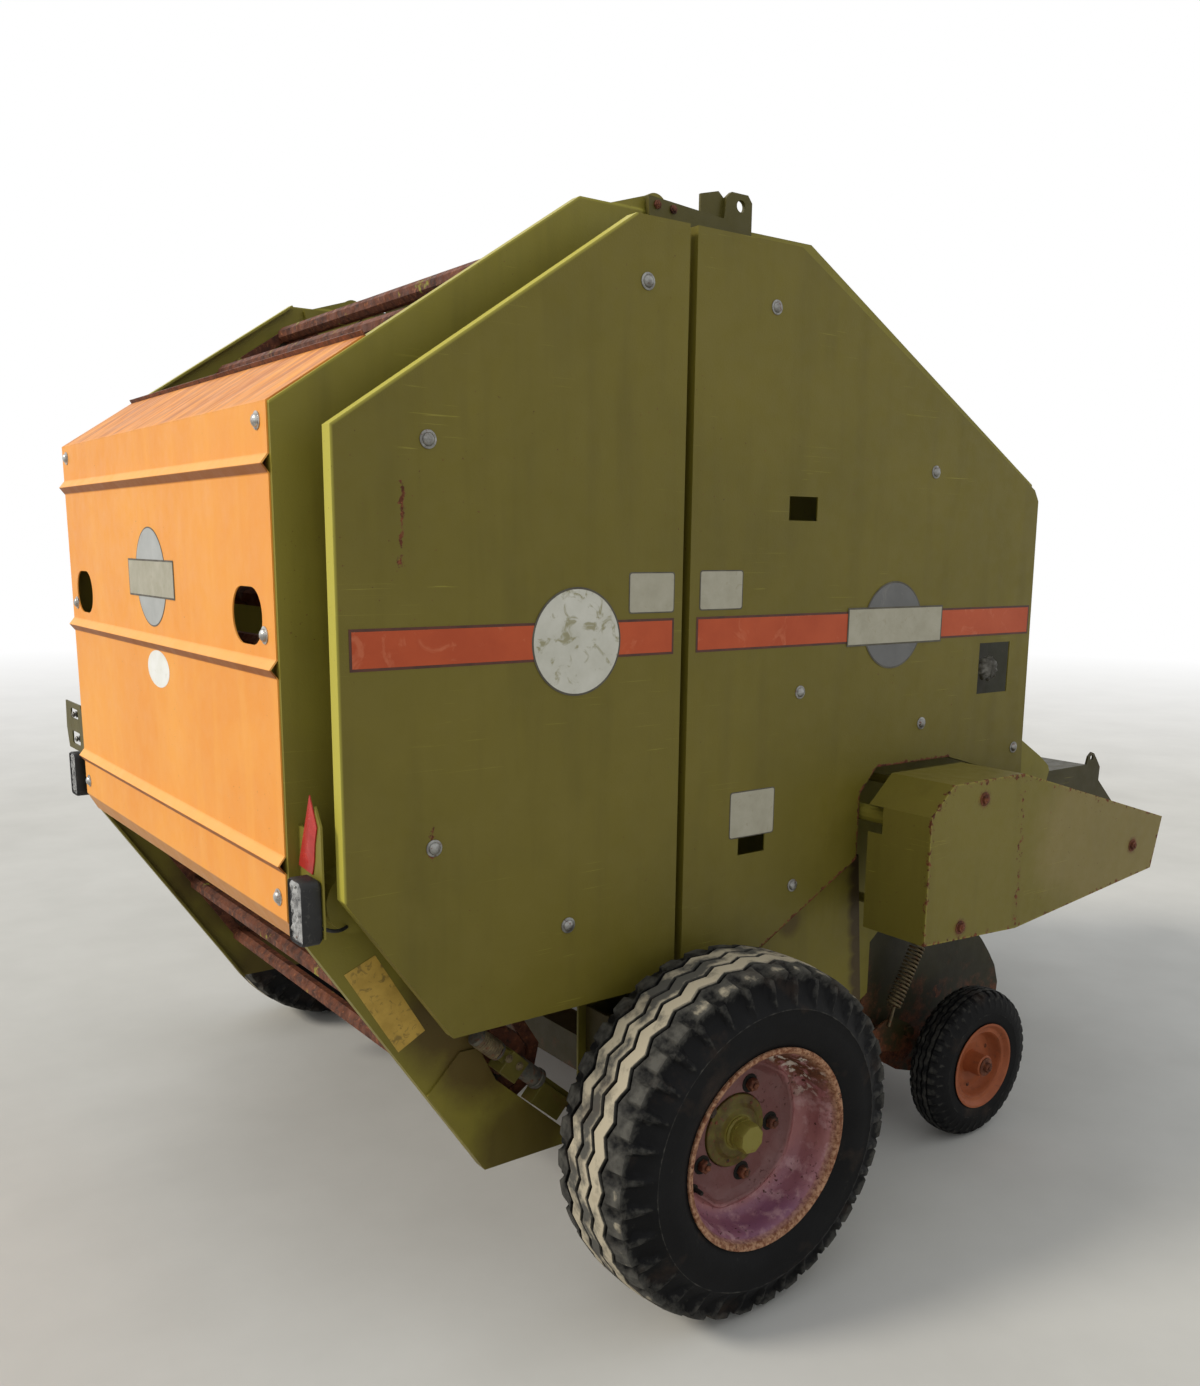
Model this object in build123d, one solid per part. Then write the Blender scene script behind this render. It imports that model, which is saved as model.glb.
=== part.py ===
from build123d import *
import math
import os

os.makedirs("parts", exist_ok=True)

# Round baler with a fixed bale chamber, in millimetres.
# X runs forward, towards the tractor, Y to the left and Z up from the floor.
# Lengths along X are measured from the wheel axle. Each piece is moved by axle_x when it is written,
# so that the origin is on the floor, in the middle of the machine's length and width.

# Overall layout
top_z = 2235.0               # top edge of the side plates
plate_outer_y = 717.0        # outer face of the inner side plates
plate_t = 6.0                # thickness of the inner side plates
plate_inner_y = plate_outer_y - plate_t
cover_y = 845.0              # outer face of the outer side covers
cover_t = 3.0                # sheet thickness of covers and guards
cover_lip = 30.0             # depth of the lip folded inwards round each cover
sheet_t = 3.0                # thickness of the front, rear and floor sheets
face_gap = 0.3               # room left where a piece is slipped into another
run_gap = 0.05               # radial room between a pin and its bore

# Tailgate hinge
hinge_z = top_z + 5          # height of the tailgate's hinge pin, straight above the parting line
hinge_pin_r = 15.0
hinge_lug_r = 32.0
hinge_lug_t = 12.0
parting_gap = 20.0           # gap between the tailgate and the front frame

# Main wheels
wheel_y = 1017.0             # middle plane of each main wheel
wheel_r = 380.0              # outer radius of the tyre, to its flats
wheel_sides = 40             # flats round each tyre and rim
tyre_w = 264.0
rim_r = 215.0                # outer radius of the rim's flange
rim_w = 244.0
rim_t = 6.0
bead_r = 200.0               # radius where the tyre's bead sits
well_r = 168.0               # bottom of the rim's drop centre
disc_y = 1030.0              # outer face of the wheel disc
disc_t = 8.0
disc_bore_r = 80.0
hub_flange_r = 128.0
wheel_bolt_pcd = 205.0
wheel_bolt_count = 5
wheel_bolt_first = 67.0      # angle of the first wheel bolt above the horizontal
wheel_bolt_r = 14.0
axle_z = wheel_r             # the tyre's crown rests on the floor
stub_r = 27.5
stub_end_y = 1056.0
cap_y = 1088.0               # outer end of the hub's cap
beam_side = 90.0             # square axle beam
axle_plate_y = 800.0         # outer face of the plates that carry the stub axles

# Gauge wheels beside the pickup
gauge_x = 1040.0
gauge_r = 205.0
gauge_w = 104.0
gauge_sides = 32
gauge_outer_y = 897.0
gauge_rim_r = 118.0
gauge_stub_r = 14.0

# Pickup
pickup_pivot_x = 800.0
pickup_pivot_z = 600.0
pickup_pin_r = 16.0
pickup_plate_y = 690.0       # outer face of the pickup's side plates
reel_x = 1090.0
reel_z = 345.0
reel_shaft_r = 20.0
tine_tip_r = 275.0
tine_bar_pitch_r = 105.0
tine_bar_r = 12.0
tine_bar_count = 4
tine_pitch = 85.0
tine_count = 15
tine_side = 7.0
band_r = 168.0
band_gap = 24.0
rail_r = 18.0
rail_places = [(815, 470), (800, 262)]     # the pickup's cross rails, clear of the tine tips

# Bale chamber
chamber_x = 0.0
chamber_z = 1280.0
chamber_r = 640.0            # path of the slats round the bale
slat_r = 21.5
slat_pitch = 216.0
chain_w = 26.0
chain_t = 12.0
chain_y = 690.0              # outer face of each chain
sprocket_shaft_r = 20.0
# Chain wheels as (x, z, radius of the path, corners of the path); negative where the path runs outside
tail_wheels = [
    (-172, top_z - 175, 100, 5),
    (-705, 1755, 60, 2),
    (-705, 946, 60, 2),
    (-376, 502, 90, 4),
    (chamber_x, chamber_z, -chamber_r, 7),
]
front_wheels = [
    (172, top_z - 175, 100, 5),
    (chamber_x, chamber_z, -chamber_r, 7),
    (470, 720, 80, 4),
    (800, 1000, 60, 2),
    (800, 1850, 60, 2),
    (400, top_z - 135, 60, 2),
]
roller_x = 120.0
roller_z = 556.0
roller_r = 100.0
roller_shaft_r = 20.0

# Drawbar and driveline
hitch_x = 2680.0
hitch_z = 480.0
eye_outer_r = 52.0
eye_bore_r = 25.0
eye_t = 32.0
beam_front_x = 1503.0        # front face of the front beam
front_beam_w = 90.0
front_beam_top = 700.0
rail_w = 60.0
rail_h = 110.0
rail_spread = 400.0
tongue_x = 2440.0
drive_x = 1425.0             # cross shaft of the gearbox
drive_z = 790.0              # height of the gearbox's shafts
drive_housing_r = 38.0
spline_r = 17.5

# Rear panel
rear_x = -825.0              # rear edge of the tailgate's side plates
flange_in = 27.0             # how far the flange of each tailgate plate is folded inwards
panel_y = 708.0              # edge of the rear panel, which lies on the flanges
rib_depth = 13.0
rib_rise = 33.0
rib_levels = (1695.5, 1343.5, 988.5)
panel_top_z = 1814.0
panel_low_z = 900.0
lamp_rear_x = -845.0         # rearmost face of the machine

axle_x = -(hitch_x + eye_outer_r + lamp_rear_x) / 2


def save(name, shape):
    """Write one sub-part, moved so that the origin is in the middle of the machine."""
    export_step(Pos(axle_x, 0, 0) * shape, f"parts/{name}.step")


def save_pair(name, shape):
    """Write a right-hand piece and its mirror image."""
    save(f"{name}_right", shape)
    save(f"{name}_left", mirror(shape, about=Plane.XZ))


def both(shape):
    """A piece and its mirror image, as one group."""
    return Compound(children=[shape, mirror(shape, about=Plane.XZ)])


def plate(outline, near, far):
    """A flat plate: an outline of (x, z) points between two distances from the middle, on the right."""
    face = make_face(Polyline(*[(x, -far, z) for x, z in outline], close=True))
    return extrude(face, amount=far - near, dir=(0, 1, 0))


def upright(outline, x0, x1):
    """A flat plate across the machine: an outline of (y, z) points between two places along it."""
    face = make_face(Polyline(*[(x0, y, z) for y, z in outline], close=True))
    return extrude(face, amount=x1 - x0, dir=(1, 0, 0))


def rod(x, z, radius, near, far):
    """A round bar across the machine, between two distances from the middle, on the right."""
    return Pos(x, -(near + far) / 2, z) * Rot(90, 0, 0) * Cylinder(radius, far - near)


def bar(x, z, radius, near, far, sides=12):
    """A bar with flat sides across the machine, with its corners on a circle."""
    turns = [math.tau * (k + 0.5) / sides for k in range(sides)]
    return plate([(x + radius * math.sin(t), z - radius * math.cos(t)) for t in turns], near, far)


def block(x0, x1, y0, y1, z0, z1):
    return Pos((x0 + x1) / 2, (y0 + y1) / 2, (z0 + z1) / 2) * Box(x1 - x0, y1 - y0, z1 - z0)


def offset_line(points, distance):
    """Points of the same bent line, moved sideways by a distance, with mitred corners."""
    moved = []
    for i, (x, z) in enumerate(points):
        directions = []
        if i > 0:
            directions.append((x - points[i - 1][0], z - points[i - 1][1]))
        if i < len(points) - 1:
            directions.append((points[i + 1][0] - x, points[i + 1][1] - z))
        normals = []
        for dx, dz in directions:
            length = math.hypot(dx, dz)
            normals.append((-dz / length, dx / length))
        nx = sum(n[0] for n in normals) / len(normals)
        nz = sum(n[1] for n in normals) / len(normals)
        scale = distance / (nx * nx + nz * nz)
        moved.append((x + nx * scale, z + nz * scale))
    return moved


def bent_sheet(points, thickness, near, far):
    """A sheet folded along a line of (x, z) points; its thickness lies to the left of the line."""
    return plate(list(points) + offset_line(points, thickness)[::-1], near, far)


def turned(profile, y, x, z, sides):
    """A wheel with flat facets: a closed profile of (radius to the flats, distance inwards) points."""
    rings = []
    for r, w in profile:
        corner_r = r / math.cos(math.pi / sides)
        turns = [math.tau * (k + 0.5) / sides for k in range(sides)]
        rings.append([(x + corner_r * math.sin(t), w - y, z - corner_r * math.cos(t)) for t in turns])
    faces = []
    for near, far in zip(rings, rings[1:] + rings[:1]):
        for k in range(sides):
            j = (k + 1) % sides
            faces.append(Face(Wire.make_polygon([near[k], near[j], far[j], far[k]], close=True)))
    return Solid(Shell(faces))


def bar_between(start, end, width, height):
    """A rectangular bar from one point to another, with its height kept upright."""
    start, end = Vector(*start), Vector(*end)
    along = end - start
    side = Vector(0, 0, 1).cross(along)
    section = Plane(origin=start, x_dir=side, z_dir=along) * Rectangle(width, height)
    return extrude(section, amount=along.length, dir=along)


# Outlines of the side plates, as (x, z)
half_gap = parting_gap / 2
slope_edge = [(-424, 284), (-800, 854), (rear_x, panel_low_z), (rear_x, panel_top_z), (-189, top_z)]
tailgate_outline = slope_edge + [
    (-half_gap, top_z),
    (-half_gap, 648),
    (-440, 648),
    (-440, 570),
    (-395, 480),
    (-200, 300),
    (-200, 284),
]
front_outline = [
    (half_gap, top_z),
    (438, top_z),
    (1315, 1750),
    (1315, 1090),
    (1363, 1045),
    (1454, 992),
    (1497, 961),
    (1505, 945),
    (1494, 913),
    (1494, 640),
    (860, 640),
    (760, 560),
    (760, 420),
    (560, 300),
    (420, 270),
    (-180, 270),
    (-180, 628),
    (half_gap, 628),
]

# Outlines of the outer covers, as (x, z)
cover_top_z = top_z - 48
rear_cover_outline = [
    (-775, 1771),
    (-150, cover_top_z),
    (-19, cover_top_z),
    (-19, 655),
    (-562, 655),
    (-776, 960),
]
front_cover_top = [(1, 655), (1, cover_top_z), (284, cover_top_z), (1145, 1727), (1163, 1700)]
right_cover_outline = front_cover_top + [
    (1174, 1075),
    (1180, 977),
    (868, 1065),
    (600, 1065),
    (545, 1005),
    (545, 846),
    (185, 655),
]
left_cover_outline = front_cover_top + [(1172, 960), (1040, 846), (545, 846), (185, 655)]
rear_stud_places = [(-595, 1756), (-121, cover_top_z - 117), (-597, 1034), (-298, 833)]
front_stud_places = [(217, cover_top_z - 125), (752, 1756), (330, 1262), (754, 1159), (331, 815)]
right_stud_places = front_stud_places + [(1136, 1065)]
cover_windows = [(275, 361, 1636, 1687), (964, 1087, 1217, 1346), (157, 237, 911, 950)]
stud_r = 9.0


def side_cover(outline, studs, windows):
    """A sheet cover with a folded lip, cut windows and the studs that hold it off the side plate."""
    body = plate(outline, cover_y - cover_lip, cover_y)
    face = make_face(Polyline(*outline, close=True))
    inside = offset(face, amount=-cover_t, kind=Kind.INTERSECTION)
    hollow = extrude(Plane.XZ * inside, amount=cover_lip)
    body -= Pos(0, -(cover_y - cover_lip - cover_t), 0) * hollow
    for x0, x1, z0, z1 in windows:
        body -= block(x0, x1, -cover_y - 1, -cover_y + cover_lip, z0, z1)
    for x, z in studs:
        body += bar(x, z, stud_r, plate_outer_y, cover_y - cover_t, 8)
    return body


# Tailgate side plates with their folded flange, hinge lug, doubler, bearing boss and lamp bracket
rod_eye_x, rod_eye_z = -300.0, top_z - 285
cylinder_pin_r = 14.0
lug_outline = [
    (-150, hinge_z - 15), (-130, hinge_z - 90), (-60, hinge_z - 90), (18, hinge_z - 26), (10, hinge_z + 26),
    (-20, hinge_z + 25),
]
lug = plate(lug_outline, plate_inner_y - hinge_lug_t, plate_inner_y)
lug += rod(0, hinge_z, hinge_lug_r, plate_inner_y - hinge_lug_t, plate_inner_y)
tailgate_plate = plate(tailgate_outline, plate_inner_y, plate_outer_y)
tailgate_plate -= rod(0, hinge_z, hinge_lug_r + 6, plate_inner_y - 1, plate_outer_y + 1)
tailgate_plate += lug
tailgate_plate -= rod(0, hinge_z, hinge_pin_r + run_gap, plate_inner_y - 20, plate_outer_y + 1)
tailgate_plate += bent_sheet(slope_edge[::-1], plate_t, plate_outer_y - flange_in, plate_inner_y)
doubler_outline = [(-556, 487), (-424, 284), (-200, 284), (-200, 300), (-395, 480), (-436, 562), (-480, 563)]
tailgate_plate += plate(doubler_outline, plate_outer_y, plate_outer_y + plate_t)
tailgate_plate += bar(-718, 935, 60, plate_outer_y, 770, 24)
tailgate_plate += rod(rod_eye_x, rod_eye_z, cylinder_pin_r, plate_outer_y, 760)
lamp_bracket = upright([(-717, 890), (-717, 1080), (-795, 1080), (-795, 1128), (-817, 1095), (-817, 890)], -804, -800)
lamp_bracket += block(-804, -770, -723, -plate_outer_y, 890, 1080)
cable_hole_r = 8.0
lamp_bracket -= Pos(-802, -807.3, 907.9) * Rot(0, 90, 0) * Cylinder(cable_hole_r, 10)
tailgate_plate += lamp_bracket
save_pair("tailgate_plate", tailgate_plate)

# Front side plates, cut back round the hinge lug, with the pins they carry
barrel_pin_x, barrel_pin_z = 250.0, top_z - 385
spring_x, spring_z = 975.0, 632.6          # upper end of the pickup's spring
spring_y = 750.0
spring_r = 22.0
spring_lug_y = spring_y + spring_r + face_gap
front_plate = plate(front_outline, plate_inner_y, plate_outer_y)
front_plate -= rod(0, hinge_z, hinge_lug_r + 8, plate_inner_y - 1, plate_outer_y + 1)
front_plate -= block(-beam_side / 2 - face_gap, beam_side / 2 + face_gap, -plate_outer_y - 1, -plate_inner_y + 1,
                     axle_z - beam_side / 2 - face_gap, axle_z + beam_side / 2 + face_gap)
front_plate -= rod(roller_x, roller_z, roller_shaft_r + run_gap, plate_inner_y - 1, plate_outer_y + 1)
front_plate += rod(barrel_pin_x, barrel_pin_z, cylinder_pin_r, plate_outer_y, 812)
front_plate += rod(pickup_pivot_x, pickup_pivot_z, pickup_pin_r, pickup_plate_y - 10, plate_inner_y)
front_plate -= rod(drive_x, drive_z, drive_housing_r + 2, plate_inner_y - 1, plate_outer_y + 1)
front_plate += bar(spring_x + 33, spring_z + 18, 8, plate_outer_y, spring_lug_y + plate_t)
spring_lug = [(spring_x - 14, spring_z - 4), (spring_x + 8, spring_z - 20), (spring_x + 47, spring_z + 8),
              (spring_x + 43, spring_z + 30), (spring_x + 25, spring_z + 32), (spring_x - 8, spring_z + 14)]
front_plate += plate(spring_lug, spring_lug_y, spring_lug_y + plate_t)
save("front_plate_left", mirror(front_plate, about=Plane.XZ))
save("front_plate_right", front_plate + bar(575, 957, 20, plate_outer_y, 925))

# Hinge brackets outside the front plates, each with its pin and the lifting eye
lift_eye_x, lift_eye_z = 217.0, top_z + 43
eye_top_z = lift_eye_z + 24
arm_outline = [
    (-29, hinge_z + 21), (-28, hinge_z - 15), (40, hinge_z - 45), (230, hinge_z - 80), (248, hinge_z - 40),
    (248, eye_top_z - 14), (236, eye_top_z), (190, eye_top_z), (176, eye_top_z - 12), (170, hinge_z + 7),
]
gusset_outline = [
    (114, top_z), (176, top_z), (176, eye_top_z - 12), (162, eye_top_z - 1), (114, eye_top_z - 13),
]
arm = plate(arm_outline, plate_outer_y, plate_outer_y + 10)
arm += plate(gusset_outline, plate_inner_y, plate_outer_y)
arm -= rod(lift_eye_x, lift_eye_z, 12, plate_outer_y - 80, plate_outer_y + 20)
arm += rod(0, hinge_z, hinge_pin_r, plate_inner_y - hinge_lug_t - 8, plate_outer_y)
save_pair("hinge_bracket", arm)

# Outer covers
save_pair("rear_cover", side_cover(rear_cover_outline, rear_stud_places, []))
save("front_cover_right", side_cover(right_cover_outline, right_stud_places, cover_windows))
save("front_cover_left", mirror(side_cover(left_cover_outline, front_stud_places, []), about=Plane.XZ))

# Rear panel on the flanges: upright lip, roof strip, three pressed ribs and the strip bent in below
slope_dx, slope_dz = -189 - rear_x, top_z - panel_top_z
slope_length = math.hypot(slope_dx, slope_dz)
lip_x = -640.0
lip_z = panel_top_z + (lip_x - rear_x) * slope_dz / slope_dx
lip_height = 12.0
lip_top = (lip_x - slope_dz / slope_length * lip_height, lip_z + slope_dx / slope_length * lip_height)
panel_line = [lip_top, (lip_x, lip_z), (rear_x, panel_top_z)]
for level in rib_levels:
    panel_line += [(rear_x, level + rib_rise), (rear_x - rib_depth, level + rib_rise / 2), (rear_x, level)]
panel_line += [(rear_x, panel_low_z), (-800, 854)]
rear_panel = bent_sheet(panel_line[::-1], sheet_t, -panel_y, panel_y)
slot_long, slot_high = 150.0, 105.0
slot_place_y, slot_place_z = 576.0, 1449.0
for side in (-1, 1):
    middle = side * slot_place_y
    cut = block(rear_x - 30, rear_x + 30, middle - slot_long / 2, middle + slot_long / 2,
                slot_place_z - slot_high / 2, slot_place_z + slot_high / 2)
    rear_panel -= fillet(cut.edges().filter_by(Axis.X), slot_high / 2 - 1)
save("rear_panel", rear_panel)

# Front panel: top, slope, front and the sheet that closes the space behind the pickup
front_line = [(110, top_z - 3), (437, top_z - 3), (1312, 1748), (1312, 1090), (760, 700)]
save("front_panel", bent_sheet(front_line[::-1], sheet_t, -plate_inner_y, plate_inner_y))

# Cross tubes of the front frame and the front beam
cross_tubes = [
    bar(60, top_z - 45, 25, -plate_inner_y, plate_inner_y),
    bar(700, 640, 25, -plate_inner_y, plate_inner_y),
    block(beam_front_x - front_beam_w, beam_front_x, -plate_inner_y, plate_inner_y,
          front_beam_top - front_beam_w, front_beam_top),
]
save("front_cross_tubes", Compound(children=cross_tubes))

# Feed floor behind the pickup
floor_line = [(755, 304), (520, 330), (250, 500)]
save("feed_floor", bent_sheet(floor_line, sheet_t, -plate_inner_y, plate_inner_y))


def belt_path(wheels):
    """Corner points of an endless belt round a table of wheels, as (x, z, radius, corners).

    The belt runs with each wheel on its left, or on its right where the radius is negative.
    """
    headings = []
    for (x0, z0, r0, _), (x1, z1, r1, _) in zip(wheels, wheels[1:] + wheels[:1]):
        distance = math.hypot(x1 - x0, z1 - z0)
        headings.append(math.atan2(z1 - z0, x1 - x0) + math.asin((r0 - r1) / distance))
    points = []
    for i, (x, z, r, corners) in enumerate(wheels):
        turn = headings[i] - headings[i - 1]
        turn = turn % math.tau if r > 0 else -((-turn) % math.tau)
        step = turn / corners
        reach = r / math.cos(step / 2)
        for c in range(corners):
            heading = headings[i - 1] + step * (c + 0.5)
            points.append((x + reach * math.sin(heading), z - reach * math.cos(heading)))
    return points


def place_on(loop, point):
    """How far along a closed loop its nearest place to a point lies."""
    best, place, walked = None, 0.0, 0.0
    for (x0, z0), (x1, z1) in zip(loop, loop[1:] + loop[:1]):
        length = math.hypot(x1 - x0, z1 - z0)
        ux, uz = (x1 - x0) / length, (z1 - z0) / length
        t = min(max((point[0] - x0) * ux + (point[1] - z0) * uz, 0), length)
        off = math.hypot(point[0] - x0 - ux * t, point[1] - z0 - uz * t)
        if best is None or off < best:
            best, place = off, walked + t
        walked += length
    return place, walked


def conveyor(wheels, slat_at):
    """An endless slat conveyor: two chain bands joined by slats, one of them at a given point."""
    loop = belt_path(wheels)
    face = make_face(Polyline(*loop, close=True))
    outer = offset(face, amount=chain_w / 2, kind=Kind.INTERSECTION)
    inner = offset(face, amount=-chain_w / 2, kind=Kind.INTERSECTION)
    band = extrude(Plane.XZ * (outer - inner), amount=chain_t)
    right_band = Pos(0, -(chain_y - chain_t), 0) * band
    shape = right_band + mirror(right_band, about=Plane.XZ)
    place, total = place_on(loop, slat_at)
    count = round(total / slat_pitch)
    place %= total / count
    for (x0, z0), (x1, z1) in zip(loop, loop[1:] + loop[:1]):
        length = math.hypot(x1 - x0, z1 - z0)
        while place < length:
            x = x0 + (x1 - x0) * place / length
            z = z0 + (z1 - z0) * place / length
            shape += bar(x, z, slat_r, chain_t - chain_y, chain_y - chain_t, 8)
            place += total / count
        place -= length
    return shape


def sprocket_shafts(wheels):
    """Shafts from plate to plate that carry the chains on their sprockets."""
    shafts = []
    for x, z, r, _ in wheels:
        if r > 0:
            shaft = bar(x, z, sprocket_shaft_r, -plate_inner_y, plate_inner_y)
            for side in (-1, 1):
                near, far = sorted((side * (chain_y - chain_t), side * chain_y))
                shaft += bar(x, z, r - chain_w / 2 - face_gap, near, far, 24)
            shafts.append(shaft)
    return shafts


save("tailgate_conveyor", conveyor(tail_wheels, (-213, top_z - 95)))
save("front_conveyor", conveyor(front_wheels, (213, top_z - 95)))
save("tailgate_shafts", Compound(children=sprocket_shafts(tail_wheels)))
save("front_shafts", Compound(children=sprocket_shafts(front_wheels)))

# Floor roller
roller = bar(roller_x, roller_z, roller_r, 12 - plate_inner_y, plate_inner_y - 12, 24)
roller += rod(roller_x, roller_z, roller_shaft_r, -plate_outer_y, plate_outer_y)
save("floor_roller", roller)

# Axle: square beam, stub axles and the plates beside the wheels, folded in to meet the side plates
axle = block(-beam_side / 2, beam_side / 2, -axle_plate_y, axle_plate_y,
             axle_z - beam_side / 2, axle_z + beam_side / 2)
axle_plate = plate([(-160, 330), (540, 330), (640, 440), (604, 839), (592, 832), (160, 592), (-160, 592)],
                   axle_plate_y - plate_t, axle_plate_y)
axle_plate += plate([(634, 440), (640, 440), (604, 839), (598, 836)], plate_outer_y, axle_plate_y - plate_t)
axle_plate += plate([(-160, 400), (-154, 400), (-154, 590), (-160, 590)], plate_outer_y, axle_plate_y - plate_t)
axle_plate += rod(0, axle_z, stub_r, axle_plate_y, stub_end_y)
save("axle", axle + axle_plate + mirror(axle_plate, about=Plane.XZ))

# Drive guard on the right: a folded box, wide at the driven end and tapering forwards
guard_outer_y = 1070.0
guard_inner_y = 888.0
guard_outline = [(532, 690), (532, 990), (605, 1057), (865, 1057), (1506, 873), (1471, 735), (875, 672)]
guard = plate(guard_outline, guard_inner_y, guard_outer_y)
guard_face = make_face(Polyline(*guard_outline, close=True))
guard_hollow = extrude(Plane.XZ * offset(guard_face, amount=-cover_t, kind=Kind.INTERSECTION),
                       amount=guard_outer_y - guard_inner_y)
guard -= Pos(0, -(guard_inner_y - cover_t), 0) * guard_hollow
guard -= block(530, 550, -931, -guard_inner_y + 1, 925, 990)
guard_stud_r = 12.0
for x, z in ((719, 1012), (1370, 811), (660, 713)):
    guard += bar(x, z, guard_stud_r, plate_outer_y, guard_outer_y - cover_t, 8)
save("drive_guard", guard)

# Hood between the side plates and the drawbar: two cheeks with ears and a top sheet
hood_rear_x = 1470.0
hood_top_z = 941.0
beam_gap_x = beam_front_x + face_gap
beam_gap_z = front_beam_top + face_gap
cheek_outline = [
    (beam_gap_x, 640), (beam_gap_x, beam_gap_z), (hood_rear_x, beam_gap_z), (hood_rear_x, hood_top_z),
    (1705, hood_top_z), (1712, 965), (1728, 977), (1742, 972), (1761, 950), (1779, 927), (1777, 886),
    (1870, 803), (1870, 700),
]
cheek_y = plate_inner_y - plate_t
cheek = plate(cheek_outline, cheek_y, plate_inner_y)
cheek -= rod(1731, 960, 8, cheek_y - 1, plate_inner_y + 1)
hood = bent_sheet([(1870, 803), (1705, hood_top_z), (hood_rear_x, hood_top_z)], sheet_t, -cheek_y, cheek_y)
hood -= block(1765, 1880, -80, 80, 700, 960)
save("front_hood", hood + cheek + mirror(cheek, about=Plane.XZ))

# Twine box on the front panel, with its hinge lugs and its lid
box_x0, box_x1 = 1312.0, 1570.0
box_z0, box_z1 = 1130.0, 1540.0
box_y = 450.0
lid_pin_x, lid_pin_z, lid_pin_r = box_x0 + 8.0, box_z1 + 8.0, 6.0
twine_box = block(box_x0, box_x1, -box_y, box_y, box_z0, box_z1)
twine_box -= block(box_x0 + cover_t, box_x1 - cover_t, -box_y + cover_t, box_y - cover_t,
                   box_z0 + cover_t, box_z1 + 1)
box_lug = block(box_x0, lid_pin_x + 9, -box_y - plate_t, -box_y, box_z1 - 60, lid_pin_z + 9)
box_lug -= rod(lid_pin_x, lid_pin_z, lid_pin_r + run_gap, box_y - 1, box_y + plate_t + 1)
save("twine_box", twine_box + box_lug + mirror(box_lug, about=Plane.XZ))
lid_z = box_z1 + face_gap
lid_edge = box_y + 14
lid = block(box_x0 + 24, box_x1 + 14, -lid_edge, lid_edge, lid_z, lid_z + cover_t)
lid += block(lid_pin_x, box_x0 + 24, -box_y + 5, box_y - 5, lid_z, lid_z + cover_t)
lid += block(box_x1 + 11, box_x1 + 14, -lid_edge, lid_edge, lid_z - 30, lid_z)
for side in (-1, 1):
    flange_near, flange_far = sorted((side * lid_edge, side * (lid_edge - cover_t)))
    lid += block(box_x0 + 40, box_x1 + 14, flange_near, flange_far, lid_z - 30, lid_z)
lid += rod(lid_pin_x, lid_pin_z, lid_pin_r, -box_y - plate_t, box_y + plate_t)
save("twine_lid", lid)

# Gearbox on the front beam, and the housing of its cross shaft
gearbox = block(1340, 1520, -110, 110, front_beam_top, drive_z + 100)
gearbox = chamfer(gearbox.edges().filter_by(Axis.Y), 24)
gearbox += bar(drive_x, drive_z, drive_housing_r, 110, 880, 16)
gearbox += Pos(1530, 0, drive_z) * Rot(0, 90, 0) * Cylinder(60, 20)
gearbox += Pos(1575, 0, drive_z) * Rot(0, 90, 0) * Cylinder(spline_r, 70)
save("gearbox", gearbox)

# Driveline: rear yoke, shaft tube in its guard and the splined front yoke
pto_x0, pto_x1 = 1550.0, 2360.0
pto_guard_r = 30.0
pto = Pos(pto_x0 + 50, 0, drive_z) * Rot(0, 90, 0) * Cylinder(34, 100)
pto += Pos((pto_x0 + pto_x1) / 2, 0, drive_z) * Rot(0, 90, 0) * Cylinder(pto_guard_r, pto_x1 - pto_x0 - 120)
pto += Pos(pto_x1 - 50, 0, drive_z) * Rot(0, 90, 0) * Cylinder(36, 100)
pto -= Pos(pto_x0 + 30, 0, drive_z) * Rot(0, 90, 0) * Cylinder(spline_r + run_gap, 64)
pto -= Pos(pto_x1 - 40, 0, drive_z) * Rot(0, 90, 0) * Cylinder(spline_r, 84)
save("driveline", pto)

# Drawbar: two rails that meet at the tongue, the towing eye, the driveline's cradle and the jack's tube
jack_x, jack_y = 2000.0, 300.0
jack_side = 70.0
leg_side = 60.0
cradle_x = 2150.0
rail_start = (beam_front_x - 40, -rail_spread, front_beam_top - 50)
rail = bar_between(rail_start, (tongue_x, -45, hitch_z + 10), rail_w, rail_h)
rail -= block(1300, beam_front_x, -700, 0, 400, 900)
drawbar = rail + mirror(rail, about=Plane.XZ)
drawbar += block(tongue_x - 60, tongue_x + 120, -75, 75, hitch_z - 60, hitch_z + 60)
drawbar += block(tongue_x + 120, hitch_x, -30, 30, hitch_z - 15, hitch_z + 15)
drawbar += Pos(hitch_x, 0, hitch_z) * Cylinder(eye_outer_r, eye_t)
drawbar -= Pos(hitch_x, 0, hitch_z) * Cylinder(eye_bore_r, eye_t + 2)
drawbar += block(cradle_x, cradle_x + 30, -150, 150, 540, 570)
drawbar += block(cradle_x + 7, cradle_x + 23, -8, 8, 570, drive_z - pto_guard_r - 10)
drawbar += block(cradle_x, cradle_x + 30, -40, 40, drive_z - pto_guard_r - 12, drive_z - pto_guard_r - face_gap)
drawbar += block(jack_x - 50, jack_x + 50, 205, jack_y, 520, 600)
drawbar += block(jack_x - jack_side / 2, jack_x + jack_side / 2, jack_y - jack_side / 2, jack_y + jack_side / 2,
                 420, 960)
leg_hole = leg_side / 2 + face_gap
drawbar -= block(jack_x - leg_hole, jack_x + leg_hole, jack_y - leg_hole, jack_y + leg_hole, 400, 950)
save("drawbar", drawbar)

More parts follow.
